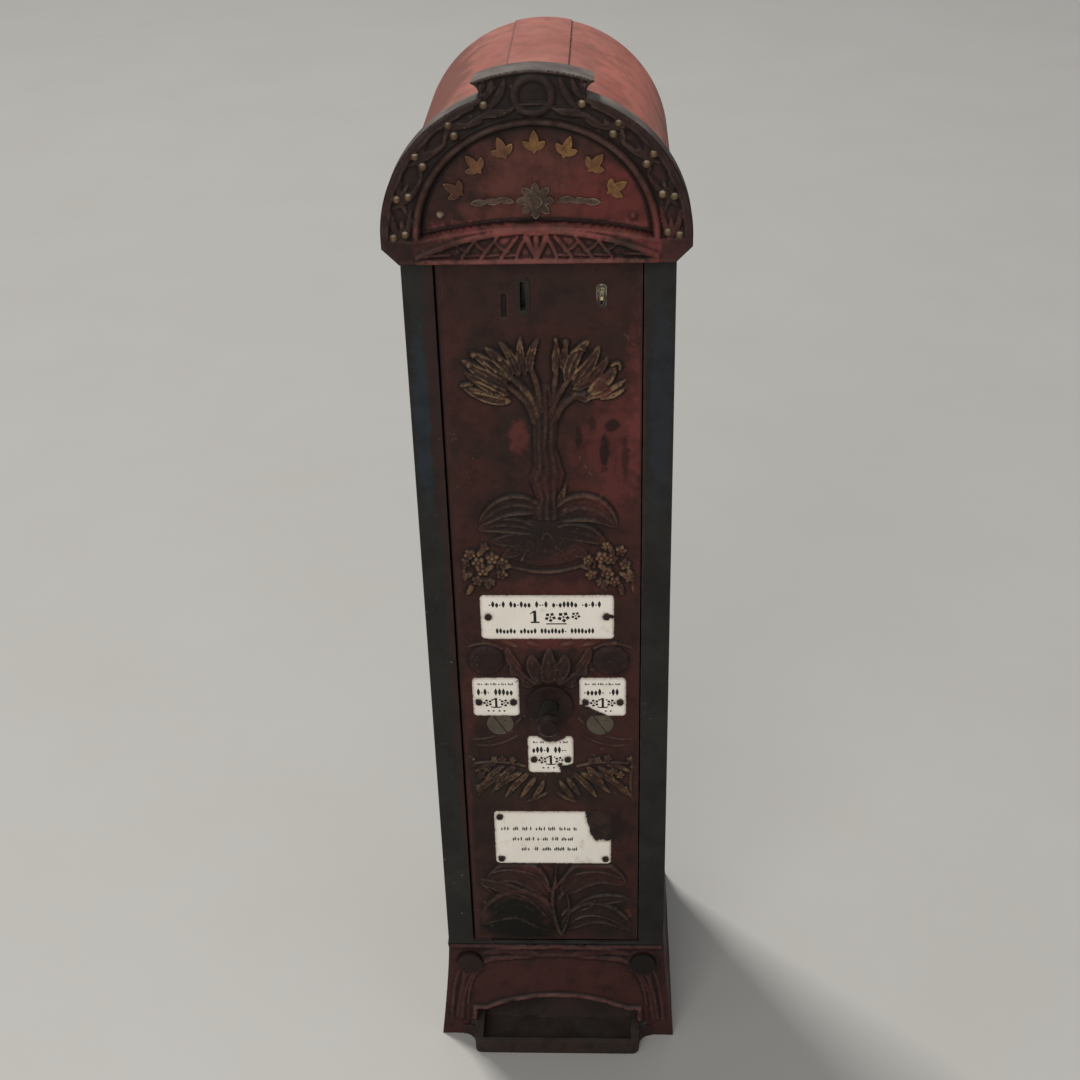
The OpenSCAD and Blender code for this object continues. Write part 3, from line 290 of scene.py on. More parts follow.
def old_paint(name, main, second, grime, worn, patches=(), sculpted=False, bronze_and_highlight=BRONZE, scale=11, mottle=0.55,
              wear=0.6, speck=190, level=0.74, specks=0.7, drips=0, drip_scale=60, dust_and_highlight=0.25, settled_and_highlight=GREY_DUST,
              clean=None, border=None, gloss=(0.42, 0.66), shine=0.12, metal=0, grain=0.35):
    """Aged paint over metal. Mottle, wear, specks, drips, dust and grain are strengths; a patch has millimetres.
    The dust mask lays grey dust on most pieces, and a painted highlight on the gilt beads.
    """
    material, tree, shader, place = new_finish(name)
    colour = blend(tree, use(tree, "blotches", place, Scale=scale, Softness=0.14), main, second)
    colour = patched(tree, place, colour, patches)
    if border:
        colour = blend(tree, times(tree, beyond(tree, place, border), 0.6), colour, DARK_BROWN)
    fine = use(tree, "blotches", place, Scale=scale * 5, Level=0.56, Softness=0.12)
    colour = blend(tree, times(tree, fine, mottle), colour, grime)
    colour, rub = rubbed(tree, place, colour, grime, sculpted, bronze_and_highlight)
    if drips:
        colour = blend(tree, times(tree, use(tree, "drips", place, Scale=drip_scale, Level=0.58), drips), colour, grime)
    scuffs = use(tree, "blotches", place, Scale=90, Level=0.5, Softness=0.2)
    colour = blend(tree, times(tree, times(tree, rub, scuffs), wear, clamp=True), colour, worn)
    flecks = use(tree, "chips", place, Scale=speck, Level=level)
    colour = blend(tree, times(tree, flecks, specks), colour, worn)
    # Dust on what faces up; on the gilt beads its pale gold is a painted highlight.
    dust_and_highlight_mask = use(tree, "dust_and_highlight", place, Amount=dust_and_highlight)
    if clean:
        dust_and_highlight_mask = times(tree, dust_and_highlight_mask, beyond(tree, place, clean))
    colour = blend(tree, dust_and_highlight_mask, colour, settled_and_highlight)
    rough = ramp(tree, use(tree, "blotches", place, Scale=24, Softness=0.3), 0.0, 1.0, *gloss)
    rough = calc(tree, "ADD", rough, times(tree, dust_and_highlight_mask, 0.4), clamp=True)
    height = calc(tree, "SUBTRACT", use(tree, "cast_grain", place, Scale=420), times(tree, flecks, 0.6))
    bump = add(tree, "Bump", {"Strength": grain, "Distance": 0.0006, "Height": height}).outputs[0]
    plug(tree, shader, {"Base Color": colour, "Roughness": rough, "Metallic": metal, "Specular IOR Level": shine,
                        "Normal": bump})
    return material


# %% Colours of the cast pieces
BROWN = (26, 14.5, 11.5)
RED = (50, 17.5, 14.5)
SOOT = (10, 7, 6)
RUBBED = (85, 54, 41)
BRIGHT_RED = (150, 36, 32)

door_paint = old_paint(
    "door_paint", BROWN, RED, SOOT, RUBBED, sculpted=True, mottle=0.45, wear=0.55, specks=0.6, level=0.705,
    patches=[
        ((0, 905), (105, 30, 36), (25, 15.5, 12.5), 0.6), ((-45, 835), (42, 30, 36), (25, 15.5, 12), 0.75),
        ((66, 745), (34, 40, 76), (94, 25, 22), 0.9), ((84, 800), (8, 40, 90), BRIGHT_RED, 0.5),
        ((-22, 760), (10, 30, 19), (110, 29, 25), 0.75), ((40, 735), (18, 30, 50), (78, 22, 18.5), 0.6),
        ((57, 746), (5, 20, 20), SOOT, 0.85), ((33, 762), (4, 20, 13), SOOT, 0.75), ((64, 774), (8, 20, 7), SOOT, 0.8),
        ((46, 775), (4, 20, 10), SOOT, 0.6), ((76, 738), (4, 20, 24), SOOT, 0.6),
        ((0, 664), (78, 30, 34), (16.5, 11.5, 10), 0.8), ((0, 600), (60, 30, 12), (82, 24, 20), 0.6),
        ((0, 535), (60, 30, 11), (100, 27, 22), 0.8), ((0, 484), (40, 30, 40), (21, 13.5, 11.5), 0.5),
        ((-62, 514), (24, 30, 20), (18.5, 12.5, 11.5), 0.75), ((62, 514), (24, 30, 20), (17.5, 12.5, 11.5), 0.75),
        ((-80, 462), (9, 30, 46), (75, 22, 19), 0.5), ((0, 356), (96, 30, 34), (29, 17.5, 12.5), 0.75),
        ((-76, 162), (12, 30, 24), (60, 25, 20), 0.5), ((40, 175), (46, 30, 50), (16.5, 11.5, 9.5), 0.7),
        ((-38, 162), (52, 30, 42), (6.5, 6, 4.5), 1.0), ((80, 175), (5, 20, 8), (100, 35, 17), 0.6),
        ((60, 300), (26, 20, 24), (12, 9, 8), 0.8), ((-20, 240), (26, 30, 6), (100, 24, 22), 0.45),
    ],
)
head_paint_and_highlight = old_paint(
    "head_paint_and_highlight", BROWN, (50, 18, 15), SOOT, RUBBED, sculpted=True, mottle=0.4, wear=0.55, specks=0.5, level=0.72,
    bronze_and_highlight=(130, 62, 40), dust_and_highlight=1.0, settled_and_highlight=(200, 172, 155), drips=0.25, clean=(129, 122.5), border=(106, 103),
    patches=[
        ((6, 996), (92, 60, 46), (118, 37, 28), 0.75), ((62, 992), (50, 60, 38), (118, 27, 23), 0.9),
        # The bright pink along the arched band, at height 965, is pink paint with a painted highlight on its ridges.
        ((0, 950), (60, 60, 22), (140, 43, 37), 0.85), ((2, 965), (114, 60, 9), (225, 61, 54), 0.9),
        ((0, 938), (130, 60, 6), (215, 70, 63), 0.9), ((108, 962), (22, 60, 28), (160, 36, 34), 0.8),
        ((-81, FRONT - 18, 979), (3.4, 30, 3.4), (300, 235, 170), 0.9), ((0, 1084), (60, 60, 22), (22, 14, 13), 0.8),
    ],
)
foot_paint_and_highlight = old_paint(
    "foot_paint_and_highlight", (32, 15.5, 13.5), (50, 18, 15.5), SOOT, (85, 45, 40), sculpted=True, mottle=0.45, wear=0.5,
    # The foot's light red on ridges, scrolls and lip is worn paint with a painted highlight.
    specks=0.4, bronze_and_highlight=(105, 44, 38),
    patches=[
        ((0, 74), (84, 40, 30), (56, 19.5, 17), 0.6), ((98, 104), (22, 40, 18), (12, 9.5, 8), 0.8),
        # The thin light line along the top moulding, at height 126, is a painted highlight.
        ((-98, 104), (22, 40, 18), (18, 10.5, 9.5), 0.75), ((0, 126), (130, 40, 3), (90, 32, 29), 0.5),
    ],
)
print("cast finishes ready")

# %% [markdown]
# The other finishes differ more from each other than they share: green-black frame paint, chalky pink primer on the
# roof, black iron, dull tin plate, worn brass, gilt, wrapping paper. They fill a table: a name, four colours, the looks
# in one order, and what only some of them have.

# %% Finishes of the CAD pieces
LOOKS = ("mottle", "wear", "specks", "scale", "gloss", "grain", "dust_and_highlight", "shine", "metal")
for name, main, second, grime, worn, looks, more in [
    ("strip_paint", (17.5, 16.5, 15), (23, 22.5, 20), (10, 9.5, 8.5), (120, 120, 110),
    (0.45, 0.45, 0.55, 8, (0.3, 0.52), 0.16, 0.4, 0.12, 0), dict(level=0.76, patches=[
        # The bluish patch on the left strip, at x -109, is a painted reflection of a window; the reddish ones are paint
        # spilled from the door.
        ((-109, 780), (9, 40, 100), (23, 32, 43), 0.65), ((-97, 800), (7, 40, 180), (34, 16.5, 14), 0.85),
        ((-95, 470), (4.5, 40, 280), (34, 16.5, 14), 0.8), ((93, 740), (1.8, 40, 160), (50, 20, 18), 0.6),
        # The bluish patch on the right strip, at x 108, is a painted reflection of a window.
        ((108, 790), (11, 40, 110), (22, 29, 37), 0.55), ((0, 170), (130, 40, 50), (13.5, 12, 10.5), 0.6),
    ])),
    ("side_paint", (19, 18.5, 16.5), (27, 26.5, 23.5), (11, 10.5, 9.5), (100, 100, 90),
    (0.4, 0.5, 0.5, 6, (0.34, 0.58), 0.12, 0.3, 0.12, 0), dict(level=0.76)),
    ("roof_primer", (370, 142, 112), (310, 110, 86), (170, 78, 60), (200, 115, 92),
    (0.45, 0.7, 0.6, 10, (0.6, 0.85), 0.12, 0.0, 0.2, 0), dict(level=0.71, drips=0.3, drip_scale=30, patches=[
        ((-92, -20, 1035), (52, 240, 44), (165, 62, 45), 0.9), ((-76, -96, 1050), (26, 40, 20), (270, 135, 95), 0.6),
        # The lighter patch on the roof's right side, at x 80, is painted light.
        ((80, -40, 1040), (44, 240, 44), (470, 150, 108), 0.8), ((70, -70, 1062), (26, 50, 14), (290, 80, 60), 0.55),
        # The lighter patch on the roof's top, at height 1082, is painted light.
        ((104, -60, 1010), (14, 90, 30), (360, 170, 130), 0.5), ((0, -80, 1082), (26, 60, 10), (420, 175, 135), 0.6),
        ((-27, 0, 1082), (1.3, 400, 8), (120, 55, 45), 0.9), ((27.5, 0, 1082), (1.3, 400, 8), (70, 30, 25), 0.9),
    ])),
    ("black_iron", (19, 14, 12), (28, 20, 16), (8, 7, 6), (90, 75, 60),
    (0.4, 0.5, 0.3, 30, (0.35, 0.6), 0.3, 0.5, 0.12, 0), {}),
    ("tray_paint", (30, 21, 17.5), (38, 22, 18), (8, 7.5, 6), (70, 60, 48),
    (0.45, 0.5, 0.4, 22, (0.35, 0.6), 0.35, 0.25, 0.12, 0), dict(patches=[
        ((98, FRONT - 18, 8), (11, 30, 40), (30, 14.5, 13), 0.9),
        ((-98, FRONT - 18, 8), (11, 30, 40), (30, 14.5, 13), 0.9),
    ])),
    ("button_paint", (16.5, 9, 9), (22, 11.5, 11), (10, 7.5, 7.5), (120, 90, 85),
    (0.4, 0.85, 0.2, 40, (0.28, 0.45), 0.25, 0.1, 0.12, 0), {}),
    ("boss_paint", (19, 11, 9.5), (26, 13.5, 11.5), (9, 6.5, 6), (70, 45, 35),
    (0.5, 0.3, 0.3, 22, (0.4, 0.6), 0.4, 0.1, 0.12, 0), dict(patches=[
        ((97, 104), (22, 60, 22), (11.5, 10.5, 9), 0.9),
    ])),
    ("chute_paint", (22, 13, 11.5), (34, 16.5, 14), (9, 6.5, 6), (110, 70, 50),
    (0.5, 0.6, 0.6, 16, (0.45, 0.65), 0.3, 0.1, 0.12, 0), {}),
    ("hinge_paint", (30, 17, 14), (20, 14, 12), (8, 6.5, 6), (120, 100, 80),
    (0.4, 0.4, 0.3, 30, (0.45, 0.65), 0.3, 0.1, 0.12, 0), {}),
    ("stem_metal", (46, 47, 38), (64, 64, 53), (16, 15, 12), (140, 140, 120),
    (0.4, 0.5, 0.2, 50, (0.3, 0.45), 0.15, 0.0, 0.3, 0.5), {}),
    ("disc_metal", (100, 79, 52), (70, 55, 37), (30, 26, 20), (240, 210, 160),
    (0.45, 0.7, 0.3, 60, (0.4, 0.6), 0.12, 0.1, 0.5, 0.35), {}),
    ("worn_gilt", (210, 105, 40), (130, 60, 28), (35, 20, 14), (450, 300, 140),
    (0.5, 0.8, 0.4, 45, (0.4, 0.6), 0.2, 0.0, 0.12, 0.25), dict(patches=[
        ((-74, 992), (34, 60, 42), (62, 27, 20), 0.9), ((-40, 1030), (22, 60, 26), (110, 47, 30), 0.7),
    ])),
    # On the beads, the pale gold laid on what faces up is worn gilt with a painted highlight.
    ("bead_gilt", (160, 105, 55), (100, 60, 35), (30, 18, 13), (620, 520, 360),
    (0.4, 0.9, 0.6, 60, (0.3, 0.5), 0.2, 1.0, 0.12, 0.2), dict(settled_and_highlight=(550, 470, 340))),
    ("tarnished_silver", (100, 62, 45), (55, 34, 26), (20, 14, 11), (400, 330, 250),
    (0.5, 0.9, 0.3, 50, (0.4, 0.6), 0.2, 0.0, 0.12, 0.2), {}),
    ("oiled_steel", (110, 105, 100), (75, 70, 66), (35, 30, 27), (300, 290, 280),
    (0.4, 0.7, 0.2, 20, (0.3, 0.5), 0.1, 0.1, 0.5, 0.7), {}),
    ("turned_steel", (320, 315, 300), (240, 235, 225), (120, 110, 100), (500, 500, 480),
    (0.25, 0.6, 0.1, 40, (0.2, 0.36), 0.06, 0.0, 0.5, 0.9), {}),
    ("dull_tin", (300, 300, 285), (220, 215, 200), (100, 85, 70), (450, 450, 430),
    (0.3, 0.6, 0.3, 12, (0.3, 0.5), 0.08, 0.1, 0.5, 0.8), {}),
    ("worn_brass", (420, 330, 190), (280, 210, 120), (90, 65, 40), (660, 580, 420),
    (0.4, 0.8, 0.2, 60, (0.28, 0.5), 0.1, 0.0, 0.5, 0.8), {}),
    ("keyhole_paint", (30, 18, 14), (75, 58, 42), (12, 9, 8), (500, 460, 380),
    (0.5, 1.0, 1.0, 60, (0.4, 0.6), 0.3, 0.0, 0.12, 0), dict(speck=240, level=0.62)),
    ("wrapping_paper", (340, 170, 85), (300, 140, 70), (220, 100, 50), (500, 330, 200),
    (0.2, 0.4, 0.0, 30, (0.55, 0.75), 0.1, 0.0, 0.12, 0), {}),
]:
    old_paint(name, main, second, grime, worn, **dict(zip(LOOKS, looks)), **more)
print(len(bpy.data.materials), "finishes")

# %% [markdown]
# ## Brushes for a relief
#
# The door, the head and the foot are castings with leaves, blossoms and rims that swell out of the plate. That shape
# is a field of heights, and here it is made as a carver works: a flat sheet, and brushes that raise a leaf, a dome, a
# blossom or a stem on it. The sheet becomes the vertices of a fine grid.


# %% The sheet
class Sheet:
    """Heights in front of a plate, in millimetres, on a grid of places across and up."""

    def __init__(self, across, up):
        self.across, self.up = np.asarray(across, float), np.asarray(up, float)
        self.x, self.z = np.meshgrid(self.across, self.up)
        self.height = np.zeros_like(self.x)
        self.gilt = np.zeros_like(self.x)
        self.hollow = self.crest = None

    def measure(self, span=14):
        """Masks of what is hollow and what stands out, each from 0 to 1."""
        rough = self.height - blur(self.height, span)
        self.hollow = np.clip(-rough * 2.2 - 0.05, 0, 1)
        self.crest = np.clip(rough * 1.9 - 0.12, 0, 1)

    def rows(self, low, high):
        """The part of the sheet between two heights, its masks with it."""
        kept = (self.up >= low - 1e-6) & (self.up <= high + 1e-6)
        strip = Sheet(self.across, self.up[kept])
        for name in ("height", "gilt", "hollow", "crest"):
            setattr(strip, name, getattr(self, name)[kept])
        return strip

    def near(self, reach, *places):
        """The rows and columns within reach of a box round some places."""
        low, high = np.min(places, 0) - reach, np.max(places, 0) + reach
        columns = np.searchsorted(self.across, (low[0], high[0]))
        return slice(*np.searchsorted(self.up, (low[1], high[1]))), slice(*columns)

    def raise_to(self, part, height, gilt=0.0):
        """Lifts the sheet to a height where it is lower."""
        old, gold = self.height[part], self.gilt[part]
        higher = height > old
        old[higher] = height[higher]
        gold[higher] = gilt


def even_noise(x, z, size, seed):
    """Soft random hills from -1 to 1, about size millimetres apart."""
    knots = np.random.default_rng(seed).uniform(-1, 1, (64, 64))
    u, v = np.asarray(x) / size + 31.3, np.asarray(z) / size + 17.7
    i, j = np.floor(u).astype(int), np.floor(v).astype(int)
    fu, fv = u - i, v - j
    fu, fv = fu * fu * (3 - 2 * fu), fv * fv * (3 - 2 * fv)
    i0, j0, i1, j1 = i % 64, j % 64, (i + 1) % 64, (j + 1) % 64
    low = knots[i0, j0] * (1 - fu) + knots[i1, j0] * fu
    high = knots[i0, j1] * (1 - fu) + knots[i1, j1] * fu
    return low * (1 - fv) + high * fv


def blur(field, passes):
    """Spreads each value to its neighbours, a few times."""
    for _ in range(passes):
        wide = np.pad(field, 1, mode="edge")
        field = (wide[:-2, 1:-1] + wide[2:, 1:-1] + wide[1:-1, :-2] + wide[1:-1, 2:] + 2 * field) / 6
    return field


# %% Brushes: leaf and blossom
NOWHERE = -99.0


def curve(start, pull, end, count=14):
    """Points along a bow from start to end that is pulled towards a third point."""
    t = np.linspace(0, 1, count)[:, None]
    start, pull, end = np.array(start, float), np.array(pull, float), np.array(end, float)
    return (1 - t) ** 2 * start + 2 * t * (1 - t) * pull + t**2 * end


def along(sheet, points, reach):
    """For the places near a line: how far along it they are, from 0 to 1, and how far to its right."""
    part = sheet.near(reach, *points)
    x, z = sheet.x[part], sheet.z[part]
    nearest, share, side = np.full(x.shape, 1e9), np.zeros(x.shape), np.zeros(x.shape)
    count = len(points) - 1
    for i in range(count):
        a, step = points[i], points[i + 1] - points[i]
        dx, dz = x - a[0], z - a[1]
        t = np.clip((dx * step[0] + dz * step[1]) / max(step @ step, 1e-6), 0, 1)
        off = np.hypot(dx - t * step[0], dz - t * step[1])
        closer = off < nearest
        nearest[closer] = off[closer]
        share[closer] = ((i + t) / count)[closer]
        side[closer] = (np.sign(dx * step[1] - dz * step[0]) * off)[closer]
    return part, share, side


def blade(sheet, start, pull, end, width, rise, gilt=0.0, cup=0.6, veins=3, base=0.0):
    """A leaf or petal along a bow. Cup 0 is a swelling leaf, 1 a dished one with a rim round it."""
    part, t, side = along(sheet, curve(start, pull, end), width)
    end_off = (t <= 0.001) | (t >= 0.999)
    t = np.clip(t, 0.002, 0.998)
    half = width / 2 * np.clip(4 * t * (1 - t), 0, 1) ** 0.62 * (1.15 - 0.3 * t)
    q = np.abs(side) / half
    ends = np.clip(np.minimum(6 * t, 5 * (1 - t)), 0, 1) ** 0.5
    domed = np.sqrt(np.clip(1 - q**2, 0, 1))
    rim = np.exp(-(((q - 0.84) / 0.13) ** 2))
    rib = np.exp(-((side / (0.05 * width + 0.45)) ** 2)) * (1 - 0.6 * t)
    comb = np.cos(2 * math.pi * (t * veins - 0.55 * q))
    swelling = 0.3 + 0.7 * domed - 0.22 * rib + 0.07 * comb * domed
    dished = 0.42 + 0.16 * q**2 + 0.42 * rim + 0.34 * rib + 0.05 * comb
    height = base + rise * ends * ((1 - cup) * swelling + cup * dished)
    height[end_off | (q >= 1)] = NOWHERE
    sheet.raise_to(part, height, gilt)


def leaf(sheet, foot, turn, length, width, rise, gilt=0.0, veins=3, bow=0.0, base=0.0, cup=0.5):
    """A blade given by its foot, its turn from upright in degrees and its length; bow bends its tip sideways."""
    angle = math.radians(turn)
    ahead = np.array([math.sin(angle), math.cos(angle)]) * length
    aside = np.array([math.cos(angle), -math.sin(angle)]) * bow
    foot = np.array(foot, float)
    blade(sheet, foot, foot + ahead / 2 - aside / 2, foot + ahead + aside, width, rise, gilt, cup, veins, base)


def blossom(sheet, at, radius, rise, gilt=0.0, petals=5, turn=0.0):
    """An open flower with hollow petals and a button in the middle."""
    part = sheet.near(radius * 1.1, at)
    dx, dz = sheet.x[part] - at[0], sheet.z[part] - at[1]
    r, a = np.hypot(dx, dz), np.arctan2(dx, dz) - math.radians(turn)
    lobe = np.abs(np.cos(petals / 2 * a)) ** 0.6
    q = r / (radius * (0.6 + 0.4 * lobe))
    swell = np.sqrt(np.clip(1 - q**2, 0, 1))
    height = rise * (0.25 + 0.6 * swell * (0.45 + 0.55 * lobe)) - rise * 0.3 * np.exp(-(((q - 0.35) / 0.12) ** 2))
    height += rise * 0.45 * np.exp(-((r / (0.2 * radius)) ** 4))
    height[q >= 1] = NOWHERE
    sheet.raise_to(part, height, gilt)


# %% Brushes: dome, stem and ridge
def dome(sheet, at, radius, rise, gilt=0.0, flat=0.0, squash=1.0):
    """A round boss; flat is the share of its top that is level."""
    part = sheet.near(radius * max(1, squash) + 1, at)
    r = np.hypot(sheet.x[part] - at[0], (sheet.z[part] - at[1]) / squash) / radius
    height = rise * np.sqrt(np.clip(1 - (np.clip(r - flat, 0, 1) / (1 - flat)) ** 2, 0, 1))
    height[r >= 1] = NOWHERE
    sheet.raise_to(part, height, gilt)


def stem(sheet, points, thick, thin, rise, gilt=0.0, base=0.0):
    """A round branch along points, from its thick end to its thin one."""
    part, t, side = along(sheet, np.array(points, float), thick + 1)
    radius = thick + (thin - thick) * t
    q = np.abs(side) / radius
    height = base + rise * (radius / thick) ** 0.5 * np.sqrt(np.clip(1 - q**2, 0, 1))
    height[q >= 1] = NOWHERE
    sheet.raise_to(part, height, gilt)


def twig(sheet, start, pull, end, *shape):
    """A stem along a bow."""
    stem(sheet, curve(start, pull, end), *shape)


def mirrored(side, *points, aside=0.0, up=0.0):
    """Points as given, or for side = -1 their mirror images; all but the first go aside a little."""
    return [(side * x + aside * (i > 0), z + up) for i, (x, z) in enumerate(points)]


def strokes(sheet, brush, rows, side=1):
    """Uses one brush along many bows; a row is start, pull, end and the brush's own values."""
    for start, pull, end, *shape in rows:
        brush(sheet, *mirrored(side, start, pull, end), *shape)


def ridge(distance, width, rise):
    """The height of a round moulding where a field of distances is near zero."""
    return rise * np.sqrt(np.clip(1 - (2 * distance / width) ** 2, 0, 1))


# %% [markdown]
# ## From sheet to mesh
#
# The grid operator gives the flat sheet. The faces past the casting's outline are deleted, and the vertices along the
# cut are moved onto the outline, so that the edge is clean. Then every vertex gets its place and the three masks.


# %% Helpers for pieces
def only(piece):
    """Selects one object and nothing else."""
    bpy.ops.object.select_all(action="DESELECT")
    piece.select_set(True)
    bpy.context.view_layer.objects.active = piece


def in_edit_mode(piece, *steps, pick="SELECT", kind="VERT"):
    """Runs operators on a piece's mesh; everything is selected first, or nothing, or what was."""
    only(piece)
    bpy.ops.object.mode_set(mode="EDIT")
    bpy.ops.mesh.select_mode(type=kind)
    if pick:
        bpy.ops.mesh.select_all(action=pick)
    for step in steps:
        step()
    bpy.ops.object.mode_set(mode="OBJECT")


def new_grid(columns, rows, size):
    """A flat grid with so many faces across and up."""
    bpy.ops.object.select_all(action="DESELECT")
    bpy.ops.mesh.primitive_grid_add(x_subdivisions=columns, y_subdivisions=rows, size=size)
    return bpy.context.object


def places_of(mesh):
    """Where a mesh's vertices are, one row each, in metres."""
    places = np.zeros(len(mesh.vertices) * 3)
    mesh.vertices.foreach_get("co", places)
    return places.reshape(-1, 3)


def move_to(mesh, places):
    """Puts a mesh's vertices at new places."""
    mesh.vertices.foreach_set("co", places.ravel())
    mesh.update()


def thicken(piece, thickness):
    """Gives a skin its wall, inwards."""
    only(piece)
    wall = piece.modifiers.new("wall", "SOLIDIFY")
    wall.thickness = thickness * MM
    wall.offset = -1
    bpy.ops.object.modifier_apply(modifier=wall.name)


def settle(piece, name, body, finish, replaces=(), smooth=40):
    """Names a finished piece, shades it, gives it its finish and puts it on its body."""
    piece.name = piece.data.name = name
    only(piece)
    bpy.ops.object.transform_apply(location=True, rotation=True, scale=True)
    bpy.ops.object.shade_smooth_by_angle(angle=math.radians(smooth))
    piece.data.materials.clear()
    piece.data.materials.append(finish)
    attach(piece, body)
    if replaces:
        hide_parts(*replaces)
    print(name, len(piece.data.polygons), "faces")


def onto_outline(x, z, edge, outline):
    """Moves the places marked as edge along the slope of a field of distances until they lie on its outline."""
    tiny, farthest = 0.02, 1.5
    for _ in range(3):
        off = outline(x, z)
        slope_x = (outline(x + tiny, z) - outline(x - tiny, z)) / (2 * tiny)
        slope_z = (outline(x, z + tiny) - outline(x, z - tiny)) / (2 * tiny)
        steep = np.maximum(slope_x**2 + slope_z**2, 0.2)
        x[edge] -= np.clip(off * slope_x / steep, -farthest, farthest)[edge]
        z[edge] -= np.clip(off * slope_z / steep, -farthest, farthest)[edge]


def relief(sheet, place, outline):
    """The sheet as a mesh. Place turns x, z and height into three coordinates; outline is above 0 outside."""
    rows, columns = sheet.x.shape
    piece = new_grid(columns - 1, rows - 1, 1)
    mesh = piece.data
    flat = places_of(mesh).round(6)
    order = np.lexsort((flat[:, 0], flat[:, 1]))
    x, z = sheet.x.copy(), sheet.z.copy()
    out = outline((x[:-1, :-1] + x[1:, 1:]) / 2, (z[:-1, :-1] + z[1:, 1:]) / 2) > 0
    beside = np.pad(out, 1, mode="edge")
    corner = [beside[:-1, :-1], beside[1:, :-1], beside[:-1, 1:], beside[1:, 1:]]
    onto_outline(x, z, np.any(corner, 0) & ~np.all(corner, 0), outline)
    corners = np.zeros(len(mesh.loops), int)
    mesh.loops.foreach_get("vertex_index", corners)
    rank = np.empty(len(order), int)
    rank[order] = np.arange(len(order))
    first = rank[corners].reshape(-1, 4).min(1)
    where = np.empty_like(flat)
    where[order] = place(x, z, sheet.height).reshape(-1, 3) * MM
    move_to(mesh, where)
    for name in ("hollow", "crest", "gilt"):
        values = np.empty(len(order))
        values[order] = getattr(sheet, name).ravel()
        mesh.attributes.new(name, "FLOAT", "POINT").data.foreach_set("value", values)
    in_edit_mode(piece, pick="DESELECT", kind="FACE")
    mesh.polygons.foreach_set("select", out[first // columns, first % columns])
    in_edit_mode(piece, lambda: bpy.ops.mesh.delete(type="FACE"), pick=None, kind="FACE")
    return piece


def wall_back(piece, plane, close=False):
    """Draws the open edge of a relief straight back to a plane, and closes the back if asked."""
    in_edit_mode(piece, lambda: bpy.ops.mesh.select_non_manifold(extend=False, use_wire=False, use_multi_face=False,
                                                                 use_non_contiguous=False, use_verts=False),
                 bpy.ops.mesh.extrude_edges_move, pick="DESELECT", kind="EDGE")
    mesh = piece.data
    picked = np.zeros(len(mesh.vertices), bool)
    mesh.vertices.foreach_get("select", picked)
    places = places_of(mesh)
    places[picked, 1] = plane * MM
    move_to(mesh, places)
    if close:
        in_edit_mode(piece, bpy.ops.mesh.edge_face_add, pick=None, kind="EDGE")
    return piece


def on_front(depth=0.0):
    """Places a relief on the front plane, some millimetres in front of it."""
    return lambda x, z, h: np.stack([x, FRONT - depth - h, z], -1)


# %% Outlines as distances
def disc(x, z, at, radius):
    """Distance from a circle, above 0 outside it."""
    return np.hypot(x - at[0], z - at[1]) - radius


def round_box(x, z, at, width, height, radius):
    """Distance from a rectangle with round corners, above 0 outside it."""
    dx, dz = np.abs(x - at[0]) - width / 2 + radius, np.abs(z - at[1]) - height / 2 + radius
    return np.hypot(np.maximum(dx, 0), np.maximum(dz, 0)) + np.minimum(np.maximum(dx, dz), 0) - radius


# %% [markdown]
# ## The door
#
# One tall casting: a tree with two heads of petals over a mound of leaves, sprays of blossom below it, round bosses
# beside the push button, and broad leaves at the foot. The back of the door, its rim and its bores are kept from the
# CAD: a copy of that node is cut off just in front of its plate, and the carved relief lies on it in three fields
# that meet edge to edge.

# %% Carve the door
PLATES = {
    "top_plate": ((0, 565), 131, 51),
    "left_plate": ((-54, 469), 47, 47),
    "right_plate": ((54, 469), 47, 47),
    "middle_plate": ((0, 396), 47, 47),
    "low_plate": ((0, 284), 124, 72),
}
BUTTON = (0, 459)
CLAMPS = [(-51, 434.5), (51, 434.5)]
BUTTON_SEAT_R, BUTTON_HOLE_R, CLAMP_SEAT_R, CLAMP_HOLE_R = 25, 21, 15, 13.75
COIN_SLOT, COIN_SLOT_HOLE = (-14.2, 900), (11, 34, 5)
KEYHOLE, KEYHOLE_HOLE = (55, 900), (7.5, 20, 3.6)
OLD_SLOT, OLD_SLOT_POCKET = (-31.2, 891), (6, 24, 2.8)
HINGE_ROUND, DOOR_EDGE, FAINT_GILT_TOP = 4.5, 0.3, 262
shaky = np.random.default_rng(7)


def wobble(amount):
    """A small random difference, as between two leaves cut by the same hand."""
    return float(shaky.uniform(-amount, amount))


